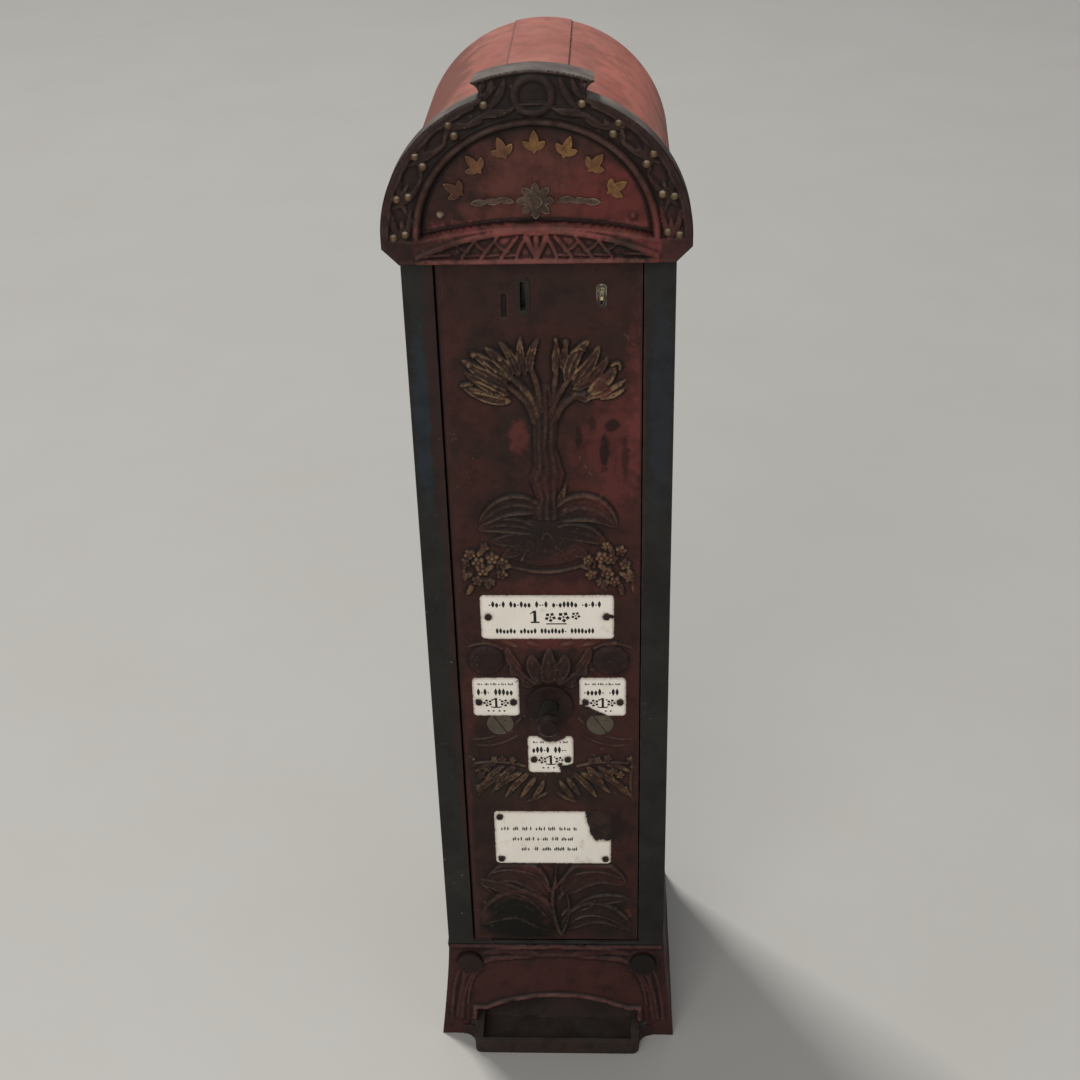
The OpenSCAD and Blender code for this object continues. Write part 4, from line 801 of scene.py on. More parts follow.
def carve_crown(sheet):
    """Two heads of long petals on curved branches; the left one a closed bud, the right one open."""
    for start, pull, end, width, gold in [
        ((-27, 799), (-50, 800), (-73, 816), 11, 0.55), ((-28, 806), (-48, 812), (-69, 828), 10, 0.6),
        ((-28, 812), (-46, 822), (-71, 840), 12, 0.55), ((-28, 818), (-40, 834), (-63, 848), 11, 0.45),
        ((-26, 820), (-30, 838), (-50, 852), 10, 0.4), ((-20, 822), (-22, 842), (-37, 858), 9, 0.35),
        ((-13, 824), (-20, 844), (-17, 862), 8, 0.35), ((-9, 826), (-12, 846), (-1, 860), 8, 0.5),
        ((12, 826), (13, 842), (15, 861), 6, 0.35), ((20, 828), (20, 842), (24, 858), 7, 0.3),
        ((24, 814), (24, 842), (44, 858), 12, 0.5), ((28, 814), (42, 828), (53, 853), 12, 0.35),
        ((28, 810), (48, 820), (61, 842), 11, 0.4), ((26, 806), (40, 803), (43, 797), 7, 0.2),
        ((36, 801), (60, 806), (77, 820), 6, 0.85), ((52, 801), (66, 803), (77, 812), 5, 0.6),
    ]:
        blade(sheet, start, pull, end, width, 4.4 + wobble(0.3), gold, 0.75)
    blade(sheet, (40, 806), (58, 816), (68, 833), 13, 5.0, 1.0, 0.3, 2)
    twig(sheet, (64, 834), (72, 840), (71, 830), 1.6, 1.2, 4.4, 0.7)
    for start, pull, end in [((-60, 821), (-45, 814), (-32, 805)), ((-50, 838), (-44, 834), (-40, 829)),
                             ((-72, 815), (-67, 817), (-62, 816)), ((-60, 809), (-46, 806), (-35, 802)),
                             ((14, 859), (17, 850), (17, 842)), ((31, 828), (34, 832), (37, 834)),
                             ((32, 849), (37, 853), (41, 848))]:
        twig(sheet, start, pull, end, 1.5, 1.0, 5.0, 0.95)
    for x, z in [(-64, 835), (-60, 845), (23, 856), (-36, 842)]:
        dome(sheet, (x, z), 3.2, 4.8, 0.8)


def carve_trunk(sheet):
    """A fluted trunk with a swelling above its root, and its branches."""
    part = sheet.near(70, (0, 745))
    x, z = sheet.x[part], sheet.z[part]
    left = np.interp(z, [690, 698, 720, 733, 792, 812], [-12, -7, -14, -9, -9, -12])
    right = np.interp(z, [690, 698, 724, 735, 756, 790, 812], [16, 14, 20, 17, 12, 16, 22])
    middle, half = (left + right) / 2, (right - left) / 2
    q = np.abs(x - middle) / half
    swell = np.sqrt(np.clip(1 - q**2, 0, 1))
    flutes = np.cos((x - middle) / half * 12 + 0.6 * np.sin(z / 14))
    height = 4.0 * swell + 0.6 * flutes * swell + 0.35 * even_noise(x, z / 3, 3.5, 3)
    height *= np.clip((820 - z) / 22, 0, 1)
    height[(q >= 1) | (z < 676)] = NOWHERE
    sheet.raise_to(part, height)
    strokes(sheet, twig, [
        ((-4, 786), (-8, 812), (-36, 828), 5.5, 2.6, 4.4, 0.5), ((-6, 780), (-10, 800), (-28, 812), 5, 3, 4.0, 0.1),
        ((0, 790), (-3, 822), (-13, 842), 4.6, 2.2, 4.2, 0.1), ((10, 790), (12, 818), (16, 840), 4.4, 2.0, 4.0, 0.1),
        ((8, 786), (14, 810), (32, 828), 4.6, 2.4, 4.2, 0.15), ((12, 782), (18, 802), (44, 808), 4.8, 2.4, 4.0, 0.1),
    ])
    stem(sheet, [(8, 796), (8, 806), (7, 812)], 1.4, 1.0, 4.9, 0.7)
    blade(sheet, (13, 686), (16, 700), (21, 714), 6, 3.4, 0.5, 0.6)


def carve_root(sheet):
    """Great seed leaves over a dark mound, and a ribbon under it."""
    dome(sheet, (0, 650), 44, 2.4, 0, 0.5, 0.6)
    strokes(sheet, blade, [
        ((-2, 684), (-34, 704), (-62, 670), 22, 3.9, 0.12, 1.0, 2),
        ((-6, 662), (-36, 676), (-64, 664), 17, 3.6, 0.12, 1.0, 3),
        ((-4, 652), (-28, 656), (-52, 650), 15, 3.2, 0.05, 0.9, 3),
        ((6, 674), (42, 706), (68, 666), 30, 3.9, 0.12, 0.95, 2),
        ((6, 660), (36, 668), (58, 648), 20, 3.4, 0.05, 0.9, 3),
    ])
    for s in (-1, 1):
        blade(sheet, (s * 8, 650), (s * 26, 646), (s * 42, 632), 13, 3.0, 0.05, 0.9, 2)
        twig(sheet, (s * 1, 617), (s * 20, 617), (s * 42, 627), 1.9, 1.5, 2.0, 0.15)
        twig(sheet, (s * 40, 627), (s * 50, 634), (s * 46, 622), 1.5, 1.2, 2.2, 0.2)
    for turn, length in [(-62, 26), (-36, 22), (-10, 26), (14, 24), (40, 24), (64, 26)]:
        leaf(sheet, (turn * 0.16, 636), turn, length, 7, 2.6, 0.05, 2, wobble(3), 1.0, 0.8)
    strokes(sheet, twig, [
        ((-23, 631), (-20, 640), (-12, 648), 1.3, 0.9, 3.6, 0.25), ((8, 648), (16, 642), (21, 632), 1.3, 0.9, 3.6, 0.2),
        ((-3, 655), (2, 668), (8, 654), 1.3, 1.0, 3.8, 0.1),
    ])


def carve_sprays(sheet):
    """Clusters of small blossoms at the corners of the plates' field."""
    for s in (-1, 1):
        for x, z, r, gold in [(73, 639, 6, 1.0), (59, 645, 5, 0.6), (52, 633, 7, 0.7), (64, 630, 7, 0.5),
                              (42, 629, 6, 0.5), (76, 626, 6, 0.5), (60, 618, 7, 0.5), (44, 614, 6, 0.45),
                              (79, 613, 6, 0.4), (68, 608, 6, 0.35), (52, 606, 5, 0.35)]:
            blossom(sheet, (s * x + wobble(2), z + wobble(2)), r, 3.8, gold, 5, wobble(40))
        for x, z, turn, length in [(66, 634, -28, 17), (78, 622, 150, 22), (50, 626, 130, 14), (60, 610, 200, 14),
                                   (70, 616, 120, 16), (44, 622, -70, 12), (72, 604, 170, 14), (84, 606, 172, 14)]:
            leaf(sheet, (s * x, z), s * (turn + wobble(10)), length, 5.5, 3.2, 0.45, 2, wobble(2))


def carve_middle(sheet):
    """Bosses, the lobed leaves over the button, and the stems beside the small plates."""
    for s in (-1, 1):
        dome(sheet, (s * 62, 514), 18, 3.2, 0.0, 0.3, 0.95)
        twig(sheet, (s * 46, 528), (s * 62, 540), (s * 84, 528), 1.6, 1.2, 1.6, 0.1)
        strokes(sheet, blade, [
            ((4, 486), (18, 506), (16, 520), 16, 3.6, 0.05, 0.7), ((14, 482), (34, 492), (36, 510), 14, 3.0, 0.05, 0.7),
            ((26, 500), (42, 516), (40, 530), 10, 2.2, 0.1, 0.7),
        ], s)
        dome(sheet, (s * 12, 490), 7, 3.6, 0.1, 0.1)
        strokes(sheet, twig, [
            ((30, 442), (52, 412), (84, 416), 1.6, 1.0, 1.5, 0.1),
            ((34, 420), (56, 404), (76, 408), 1.4, 1.0, 1.3, 0.1),
        ], s)
    blade(sheet, (0, 484), (0, 502), (1, 528), 17, 4.2, 0.05, 0.6)
    for x in (-52, -30, -8, 12, 34, 56):
        leaf(sheet, (x, 531), 70 if x > 0 else -70, 16, 4.5, 1.4, 0.25, 2, 2)


def carve_garland(sheet):
    """Palm leaves that fan out and down to the low plate, with small blossoms along their edge."""
    for s in (-1, 1):
        for x, z, r, gold in [(82, 389, 5, 0.8), (85, 381, 4, 0.5), (72, 369, 5, 0.5), (66, 376, 5, 0.4),
                              (58, 390, 4.5, 0.5), (50, 387, 4.5, 0.45), (40, 387, 4, 0.4), (78, 352, 5, 0.3)]:
            blossom(sheet, (s * x + wobble(2), z + wobble(2)), r, 3.2, gold, 5, wobble(40))
        for start, pull, end, width, gold in [
            ((22, 372), (36, 362), (49, 338), 7, 0.5), ((36, 380), (46, 374), (58, 352), 7, 0.5),
            ((30, 372), (48, 366), (64, 344), 7, 0.4), ((48, 380), (62, 374), (70, 356), 6, 0.45),
            ((16, 366), (24, 356), (34, 338), 6, 0.4), ((8, 362), (12, 350), (22, 336), 6, 0.35),
            ((44, 372), (64, 366), (78, 340), 6, 0.3), ((60, 366), (74, 356), (84, 338), 5, 0.3),
            ((4, 346), (14, 338), (28, 332), 4, 0.3), ((56, 382), (70, 384), (82, 372), 5, 0.4),
        ]:
            points = mirrored(s, start, pull, end, aside=wobble(2.5))
            blade(sheet, *points, width, 3.0 + wobble(0.3), gold, 0.8)
        strokes(sheet, twig, [
            ((6, 370), (40, 392), (80, 384), 1.8, 1.2, 2.2, 0.3), ((84, 376), (80, 356), (86, 334), 1.5, 1.2, 1.8, 0.2),
        ], s)


def carve_foot_leaves(sheet):
    """Broad dished leaves at the bottom of the door, and a forked stem between them."""
    strokes(sheet, blade, [
        ((-8, 202), (-34, 262), (-74, 218), 34, 3.4, 0.15, 0.95, 2),
        ((-16, 192), (-50, 214), (-88, 224), 15, 3.2, 0.12, 0.9, 2),
        ((-5, 148), (-32, 224), (-84, 158), 46, 3.4, 0.12, 0.9, 2),
        ((-58, 196), (-76, 190), (-87, 150), 12, 2.4, 0.2, 0.8, 2),
        ((10, 202), (38, 262), (78, 216), 36, 3.4, 0.12, 0.95, 2),
        ((8, 150), (44, 206), (86, 148), 32, 3.4, 0.15, 0.95, 2),
        ((20, 178), (46, 204), (84, 196), 15, 3.0, 0.15, 0.9, 2),
    ])
    for start, pull, end, gold in [((-43, 206), (-24, 198), (-11, 173), 0.5), ((-66, 236), (-44, 246), (-15, 228), 0.3),
                                   ((-66, 204), (-72, 212), (-85, 224), 0.3), ((44, 195), (38, 184), (30, 182), 0.4),
                                   ((23, 168), (48, 186), (83, 150), 0.35), ((24, 233), (48, 244), (72, 228), 0.2)]:
        twig(sheet, start, pull, end, 1.5, 0.9, 4.0, gold)
    strokes(sheet, twig, [
        ((8, 142), (-8, 180), (1, 222), 3.4, 2.0, 3.6, 0.15), ((7, 146), (20, 176), (14, 202), 2.6, 1.2, 3.4, 0.2),
        ((2, 214), (8, 226), (22, 247), 2.2, 1.2, 3.6, 0.3), ((1, 214), (2, 228), (3, 244), 2.0, 1.1, 3.6, 0.3),
    ])
    for x, z, turn, length in [(-2, 206, -34, 16), (4, 196, 30, 15), (-3, 184, -40, 15), (7, 172, 36, 14)]:
        leaf(sheet, (x, z), turn, length, 5, 3.4, 0.3, 2, wobble(2))


def carve_plate_field(sheet):
    """The whole door: base, ornament, then the flat seats of the plates."""
    x, z = sheet.x, sheet.z
    rim = np.minimum(np.minimum(x - DOOR_LEFT - HINGE_ROUND, DOOR_RIGHT - DOOR_EDGE - x),
                     np.minimum(z - DOOR_LOW - DOOR_EDGE, DOOR_HIGH - DOOR_EDGE - z))
    for carve in (carve_crown, carve_trunk, carve_root, carve_sprays, carve_middle, carve_garland, carve_foot_leaves):
        carve(sheet)
    sheet.height *= np.clip((rim - 4) / 5, 0, 1)
    for at, width, height in PLATES.values():
        away = round_box(x, z, at, width + 3, height + 3, 5)
        sheet.height *= np.clip(away / 2.5, 0, 1)
        sheet.gilt *= np.clip(away / 2.5, 0, 1)
    for at, radius in [(BUTTON, BUTTON_SEAT_R)] + [(at, CLAMP_SEAT_R) for at in CLAMPS]:
        sheet.height *= np.clip(disc(x, z, at, radius) / 2.5, 0, 1)
    sheet.gilt *= np.where(z < FAINT_GILT_TOP, 0.35, 1.0)
    sheet.height = blur(sheet.height, 1)
    sheet.height += 0.35 + 0.16 * even_noise(x, z, 16, 5) + 0.1 * even_noise(x, z, 5, 6)
    sheet.height += 0.07 * even_noise(x, z, 2.2, 9) * (1 + sheet.height.clip(0, 3))
    pocket = round_box(x, z, OLD_SLOT, *OLD_SLOT_POCKET)
    sheet.height -= 2.0 * np.clip(-pocket / 1.5, 0, 1)
    sheet.height -= 0.9 * np.clip(1 - np.abs(pocket - 1.2) / 3, 0, 1) * 0.3
    sheet.height -= 0.75 * (1 - np.clip(rim / 1.6, 0, 1)) ** 2
    sheet.measure()


def door_holes(x, z):
    """Where the carved fields stay open for the pieces that sit in the door."""
    slot = -round_box(x, z, COIN_SLOT, *COIN_SLOT_HOLE)
    key = -round_box(x, z, KEYHOLE, *KEYHOLE_HOLE)
    holes = np.maximum(np.maximum(slot, key), -disc(x, z, BUTTON, BUTTON_HOLE_R))
    for at in CLAMPS:
        holes = np.maximum(holes, -disc(x, z, at, CLAMP_HOLE_R))
    return holes


# %% Make the door's pieces
DOOR_STEP = 0.82
door_rows = round((DOOR_HIGH - DOOR_LOW - 2 * DOOR_EDGE) / DOOR_STEP) + 1
door_sheet = Sheet(np.arange(DOOR_LEFT + HINGE_ROUND, DOOR_RIGHT - DOOR_EDGE + DOOR_STEP / 2, DOOR_STEP),
                   np.linspace(DOOR_LOW + DOOR_EDGE, DOOR_HIGH - DOOR_EDGE, door_rows))
carve_plate_field(door_sheet)
seams = door_sheet.up[[0, door_rows // 3, 2 * door_rows // 3, -1]]
for name, low, high in zip(("door_low_relief", "door_middle_relief", "door_high_relief"), seams, seams[1:]):
    piece = wall_back(relief(door_sheet.rows(low, high), on_front(), door_holes), FRONT + 0.4)
    settle(piece, name, "door", door_paint)

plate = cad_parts["door_panel"].copy()
plate.data = plate.data.copy()
plate.parent = None
for key in [key for key in plate.keys() if key.startswith("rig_")]:
    del plate[key]
bpy.context.scene.collection.objects.link(plate)
plate.name = "door_casting"
in_edit_mode(plate, lambda: bpy.ops.mesh.remove_doubles(threshold=2e-6))
in_edit_mode(plate, lambda: bpy.ops.mesh.bisect(plane_co=(0, (FRONT - 0.02) * MM, 0), plane_no=(0, -1, 0),
                                                clear_outer=True))
back_paint = old_paint(
    "door_back_paint", (50, 20, 17), (35, 18, 15), SOOT, RUBBED, mottle=0.4, wear=0.5, specks=0.3, gloss=(0.5, 0.7),
)
settle(plate, "door_casting", "door", back_paint, ["door_panel"], 30)

# %% [markdown]
# ## The head
#
# A thick cast plate that hides the front of the roof. Its outline is a round arch with cut corners and a crest with
# hollow sides under a broad cap. From the outside in: a plain rim, a border of leaves, a ring, and the half-moon field,
# closed below by an arched band and a row of ornament.

# %% Carve the head
HEAD_R, HEAD_RISE, RIM, FIELD_R, RING = 132.4, 126.0, 6.5, 104.0, 4.0
HEAD_LOW, HEAD_OUT = SPRING - 23, 22.0
CAP_TOP, CAP_HALF, CAP_ARC = SPRING + 141, 50.0, 136.0
BAND_RISE, UNDER_R, STUD_R = 13, 240, 3
BAND_R = (FIELD_R**2 + BAND_RISE**2) / (2 * BAND_RISE)
CAP_BACK, CAP_LIP = 8.0, 12.0
STUDS = [(-81, SPRING + 19), (82, SPRING + 16)]
BEADS = [(19.5, 0.72), (35.6, 0.7), (36.5, 0.25), (54.1, 0.8), (55.9, 0.36), (70.8, 0.38), (73.2, 0.78),
         (89.3, 0.77), (87.9, 0.32)]


def crest_edge(x, z):
    """Distance from the crest's outline, above 0 outside."""
    side = np.abs(x)
    block = np.maximum(side - CAP_HALF, SPRING + 95 - z)
    block = np.maximum(block, np.hypot(x, z - (CAP_TOP - CAP_ARC)) - CAP_ARC)
    return np.maximum(block, 8.5 - np.hypot(side - CAP_HALF - 2, z - SPRING - 122))


def arch_edge(x, z, inset):
    """Distance from the flattened arch, above 0 outside."""
    wide, tall = HEAD_R - inset, HEAD_RISE - inset
    away = np.hypot(x / wide, np.maximum(z - SPRING, 0) / tall)
    away = np.where(z > SPRING, away, np.abs(x) / wide)
    return (away - 1) * np.hypot(x, np.maximum(z - SPRING, 0)) / np.maximum(away, 0.01)


def head_edge(x, z):
    """Distance from the head's outline, above 0 outside."""
    side = np.abs(x)
    body = np.maximum(arch_edge(x, z, 0), HEAD_LOW - z)
    corner = (side - (HEAD_R + 0.5 - 15) - (z - HEAD_LOW)) / math.sqrt(2)
    return np.minimum(np.maximum(body, corner), crest_edge(x, z))


def step_up(distance, width):
    """0 to 1 over a width, round at both ends."""
    t = np.clip(distance / width, 0, 1)
    return t * t * (3 - 2 * t)


def round_the_arch(angle, share):
    """A place on the head's border: degrees from upright, and 0 at the ring to 1 at the rim."""
    radius = FIELD_R + share * (HEAD_R - RIM - FIELD_R)
    return radius * math.sin(math.radians(angle)), SPRING + radius * math.cos(math.radians(angle))


def carve_border(sheet):
    """Long flat strands that cross and fork round the arch, between pads for the beads."""
    for s in (-1, 1):
        for a, b, share_a, share_b, width, gold in [
            (22, 40, 0.2, 0.85, 5, 0.1), (26, 44, 0.9, 0.15, 5, 0.05), (40, 60, 0.25, 0.9, 5, 0.1),
            (44, 62, 0.85, 0.1, 5, 0.05), (60, 78, 0.2, 0.9, 5, 0.1), (62, 80, 0.95, 0.2, 5, 0.1),
            (76, 96, 0.2, 0.8, 5, 0.05), (78, 94, 0.9, 0.2, 5, 0.1), (30, 38, 0.5, 0.55, 4, 0.05),
            (48, 58, 0.5, 0.5, 4, 0.05), (66, 74, 0.55, 0.5, 4, 0.1), (82, 90, 0.5, 0.6, 4, 0.1),
        ]:
            start, end = round_the_arch(a, share_a), round_the_arch(b, share_b)
            pull = round_the_arch((a + b) / 2 + wobble(2), share_a + wobble(0.15))
            blade(sheet, *mirrored(s, start, pull, end), width, 2.5, gold, 0.7)
        for angle, share in BEADS:
            x, z = round_the_arch(angle, share)
            dome(sheet, (s * x, z), 4.4, 1.6, 0.1, 0.5)


def carve_crest(sheet):
    """A broad oval ring under the cap, with drapery on both sides that runs down into the border."""
    at = (0, SPRING + 120)
    part = sheet.near(24, at)
    oval = np.hypot((sheet.x[part] - at[0]) / 15.2, (sheet.z[part] - at[1]) / 14.5)
    sheet.raise_to(part, np.where(np.abs(oval - 1) < 0.25, ridge((oval - 1) * 14, 6.5, 2.0), NOWHERE))
    stem(sheet, [(-11, at[1] - 7), (11, at[1] - 7)], 1.2, 1.2, 1.8)
    drawn_spring = 960
    for s in (-1, 1):
        for start, pull, end, width in [
            ((22, 1094), (26, 1078), (40, 1066), 6), ((32, 1094), (33, 1082), (46, 1073), 5.5),
            ((40, 1093), (39, 1086), (44, 1078), 4), ((18, 1068), (36, 1070), (62, 1052), 5),
            ((14, 1072), (24, 1062), (48, 1064), 4), ((44, 1078), (58, 1072), (78, 1050), 5),
        ]:
            blade(sheet, *mirrored(s, start, pull, end, up=SPRING - drawn_spring), width, 2.4, 0.03, 0.6)


def carve_low_row(sheet):
    """The row under the band: slanting bars with short rungs, a long slot at each end, a fan in the middle."""
    low, high = HEAD_LOW + 6, HEAD_LOW + 24
    for s in (-1, 1):
        for i in range(3):
            x = 22 + 17 * i
            strokes(sheet, twig, [((x + 8, low), (x + 2, low + 8), (x - 6, high), 2.2, 1.7, 2.9),
                                  ((x + 2, low + 5), (x + 12, low + 8), (x + 13, high - 3), 1.4, 1.2, 2.3)], s)
            stem(sheet, [(s * (x - 6), low + 2), (s * (x + 5), low + 1)], 1.2, 1.2, 2.0)
        for z in (high - 7, high - 15):
            stem(sheet, [(s * 74, z), (s * 106, z - 2)], 1.7, 1.7, 2.9)
        stem(sheet, [(s * 80, high - 11), (s * 101, high - 12.5)], 1.3, 1.3, 1.8)
        twig(sheet, (s * 2, high + 3), (s * 12, high), (s * 17, low), 1.8, 1.8, 2.6)
    for lean in (-7, 0, 7):
        stem(sheet, [(0, low - 1), (lean * 1.2, high)], 2.4, 3.4, 2.9, 0)


def carve_head(sheet):
    """Rim, border, ring, band and fields of the head."""
    x, z = sheet.x, sheet.z
    r = np.hypot(x, z - SPRING)
    moon_r = np.hypot(x, (z - SPRING) * 1.033)
    in_crest = np.minimum(-crest_edge(x, z) - 1.8, z - SPRING - 108)
    border = np.maximum(np.minimum(-arch_edge(x, z, RIM), z - SPRING + 2), in_crest)
    border = np.minimum(border, moon_r - FIELD_R)
    in_band = np.hypot(x, z - (SPRING + 11 - BAND_R)) - BAND_R
    moon = np.minimum(FIELD_R - RING - moon_r, in_band)
    under = np.hypot(x, z - (SPRING + 7 - UNDER_R)) - UNDER_R
    low = np.minimum(np.minimum(-(under + 2.5), z - HEAD_LOW - 4), np.minimum(108 - np.abs(x), 110 - r))
    ornament = Sheet(sheet.across, sheet.up)
    for carve in (carve_border, carve_crest, carve_low_row):
        carve(ornament)
    sheet.height -= 3.0 * step_up(border, 2.2)
    sheet.height -= 3.0 * step_up(low, 2.0)
    sheet.height += np.where((border > 0.2) | (low > 0.2), ornament.height, 0)
    sheet.gilt[:] = np.where(border > 0, ornament.gilt, 0)
    sheet.height -= 9.0 * step_up(moon, 3.0)
    sheet.height += ridge(moon_r - (FIELD_R - RING / 2), RING + 1, 1.4) * (in_band > 0)
    sheet.height += ridge(in_band + 1.2, 3, 0.8) * (np.abs(x) < 104)
    sheet.height += ridge(under, 5, 1.6) * (np.abs(x) < 104) * (in_band < 0)
    for at in STUDS:
        away = np.hypot(x - at[0], z - at[1])
        sheet.height += np.where(away < STUD_R, 2.2 * np.sqrt(np.clip(1 - (away / STUD_R) ** 2, 0, 1)), 0)
    sheet.gilt = np.where(np.hypot(x - STUDS[0][0], z - STUDS[0][1]) < 2.8, 2.0, sheet.gilt)
    edge = -head_edge(x, z)
    sheet.height = blur(sheet.height, 1)
    sheet.height -= 1.6 * (1 - np.clip(edge / 2.4, 0, 1)) ** 2
    sheet.height += 0.14 * even_noise(x, z, 12, 21) + 0.09 * even_noise(x, z, 4, 22) - 0.24
    sheet.measure()
    print("head relief from", round(float(sheet.height.min()), 1), "to", round(float(sheet.height.max()), 1))


HEAD_STEP = 0.85
sheet = Sheet(np.arange(-HEAD_R - 1, HEAD_R + 1.5, HEAD_STEP), np.arange(HEAD_LOW - 1, CAP_TOP + 2, HEAD_STEP))
carve_head(sheet)
piece = wall_back(relief(sheet, on_front(HEAD_OUT), head_edge), FRONT - 0.05, close=True)
settle(piece, "head_casting", "case", head_paint_and_highlight, ["pediment"], 35)

# %% [markdown]
# The cap of the crest reaches a little further back than the plate, over the roof. A strip of the same outline,
# pulled back, makes that lip.

# %% The cap's lip
LIP_STEPS = 24
bend = np.linspace(-CAP_HALF, CAP_HALF, LIP_STEPS + 1)
top = np.sqrt(CAP_ARC**2 - bend * bend) + CAP_TOP - CAP_ARC - 0.4
lip = new_grid(LIP_STEPS, 1, 2)
column = np.round((places_of(lip.data)[:, 0] + 1) * LIP_STEPS / 2).astype(int)
upper = places_of(lip.data)[:, 1] > 0
heights = np.where(upper, top[column], np.minimum(top[column] - 1.2, CAP_TOP - CAP_LIP))
across = np.clip(bend[column], -CAP_HALF + 0.5 + 2 * ~upper, CAP_HALF - 0.5 - 2 * ~upper)
move_to(lip.data, np.stack([across, np.full(len(column), FRONT - 0.05), heights], -1) * MM)
thicken(lip, CAP_BACK)
settle(lip, "cap_lip", "case", head_paint_and_highlight, ["pediment"])

# %% [markdown]
# ## The foot
#
# The foot flares out to the floor on three sides, so its relief can't lie on one plane. The sheet runs round the foot
# instead: left side, front, right side. Each place on it is first carried out by the flare, and then by its height.

# %% Carve the foot
FLARE, FOOT_BACK = 12.5, BACK - 2.0
MOUTH_HALF, MOUTH_LOW, MOUTH_RISE = 84.0, 34.0, 18.5
MOUTH_SPAN, TRAY_HALF, TRAY_TOP = 75, 93.4, 18.4
MOUTH_R = (MOUTH_SPAN**2 + MOUTH_RISE**2) / (2 * MOUTH_RISE)
ARCH_TOP, ARCH_R, ARCH_HALF = 116, 340, 104
BOSS_AT, BOSS_SEAT_R, FOOT_WALL = (97, 104), 14.6, 8


def flare_at(z):
    """How far the foot stands out from the case at a height."""
    return FLARE * (np.clip(FOOT_TOP - z, 0, None) / FOOT_TOP) ** 1.3


def mouth_edge(s, z):
    """Distance from the way out and the tray's cut, above 0 inside them."""
    box = np.maximum(np.abs(s) - MOUTH_HALF, z - MOUTH_LOW)
    tray = np.maximum(np.abs(s) - TRAY_HALF, z - TRAY_TOP)
    arch = np.maximum(np.hypot(s, z - (MOUTH_LOW + MOUTH_RISE - MOUTH_R)) - MOUTH_R, 20 - z)
    arch = np.maximum(arch, np.abs(s) - MOUTH_SPAN)
    return -np.minimum(np.minimum(box, tray), arch)


def round_foot(s, z, h):
    """Carries a place on the sheet to the foot's flared outside."""
    out = flare_at(z)
    depth = FOOT_BACK - FRONT
    front = np.abs(s) <= HALF_CASE
    run = np.clip((np.abs(s) - HALF_CASE) / depth, 0, 1)
    turned = np.clip((np.abs(s) - HALF_CASE - depth) / 10, 0, 1)
    side = (HALF_CASE + out + h) * (1 - turned) + (HALF_CASE - 8) * turned
    x = np.where(front, s * (HALF_CASE + out) / HALF_CASE, np.sign(s) * side)
    y = np.where(front, FRONT - out - h, FRONT - out + run * (depth + out))
    return np.stack([x, y, z], -1)


def carve_foot(sheet):
    """Arched border, scrolls and ribs on the foot's front, and a plain moulding round its top."""
    s, z = sheet.x, sheet.z
    arch = np.hypot(s, z - (ARCH_TOP - ARCH_R)) - ARCH_R
    sheet.height += ridge(arch + 3.5, 5, 1.3) * (np.abs(s) < ARCH_HALF)
    sheet.height += ridge(np.abs(s) - ARCH_HALF + 2, 4.5, 1.4) * (arch < 0) * (z > 20)
    lip = -mouth_edge(s, z)
    scallop = 0.7 * even_noise(s, 0 * z, 9, 33)
    sheet.height = np.maximum(sheet.height, ridge(lip - 3.4 - scallop, 6, 2.3) * (np.abs(s) < 90))
    # The light red on the top of the lip's ridge is worn paint with a painted highlight.
    sheet.gilt += 1.2 * (ridge(lip - 3.4 - scallop, 5, 1) > 0.6) * (np.abs(s) < 90)
    for side in (-1, 1):
        strokes(sheet, blade, [
            ((6, 121), (30, 130), (58, 118), 7, 2.2, 0.3, 0.7), ((14, 112), (44, 122), (84, 114), 7, 2.2, 0.3, 0.7),
            ((40, 123), (66, 122), (86, 112), 5, 2.2, 0.3, 0.7), ((24, 108), (50, 112), (74, 104), 5, 2.2, 0.3, 0.7),
            ((60, 110), (76, 108), (84, 98), 5, 2.2, 0.3, 0.7),
        ], side)
        strokes(sheet, twig, [
            ((82, 92), (96, 86), (96, 44), 1.6, 1.6, 1.8, 0.2), ((88, 90), (101, 84), (101, 24), 1.6, 1.6, 1.8, 0.25),
            ((94, 88), (107, 82), (106, 24), 1.6, 1.6, 1.8, 0.2),
            ((106, 92), (114, 80), (112, 24), 1.5, 1.5, 1.6, 0.15),
        ], side)
        away = disc(s, z, (side * BOSS_AT[0], BOSS_AT[1]), BOSS_SEAT_R)
        sheet.height *= np.clip(away / 3, 0, 1)
        sheet.height = np.maximum(sheet.height, ridge(away - 1.4, 2.6, 0.8))
    sheet.height += 1.8 * np.exp(-(((z - 124.5) / 2.2) ** 2))
    sheet.height = blur(sheet.height, 1)
    sheet.height += 0.18 * even_noise(s, z, 14, 31) + 0.12 * even_noise(s, z, 4, 32)
    corner = np.abs(np.abs(s) - HALF_CASE)
    sheet.height *= np.clip(corner / 2.5, 0.0, 1)
    sheet.measure(10)


front_part = np.linspace(-HALF_CASE, HALF_CASE, 193)
side_part = HALF_CASE + np.linspace(0, 1, 40)[1:] ** 1.4 * (FOOT_BACK - FRONT)
side_part = np.concatenate([side_part, HALF_CASE + FOOT_BACK - FRONT + np.array([0.2, 3, 7, 10])])
sheet = Sheet(np.concatenate([-side_part[::-1], front_part, side_part]), np.linspace(0, FOOT_TOP, 103))
carve_foot(sheet)
foot = relief(sheet, round_foot, mouth_edge)
thicken(foot, FOOT_WALL)
feet = places_of(foot.data)
feet[:, 2] = feet[:, 2].clip(0, FOOT_TOP * MM)
move_to(foot.data, feet)
settle(foot, "foot_shell", "case", foot_paint_and_highlight, ["foot_casting"], 45)

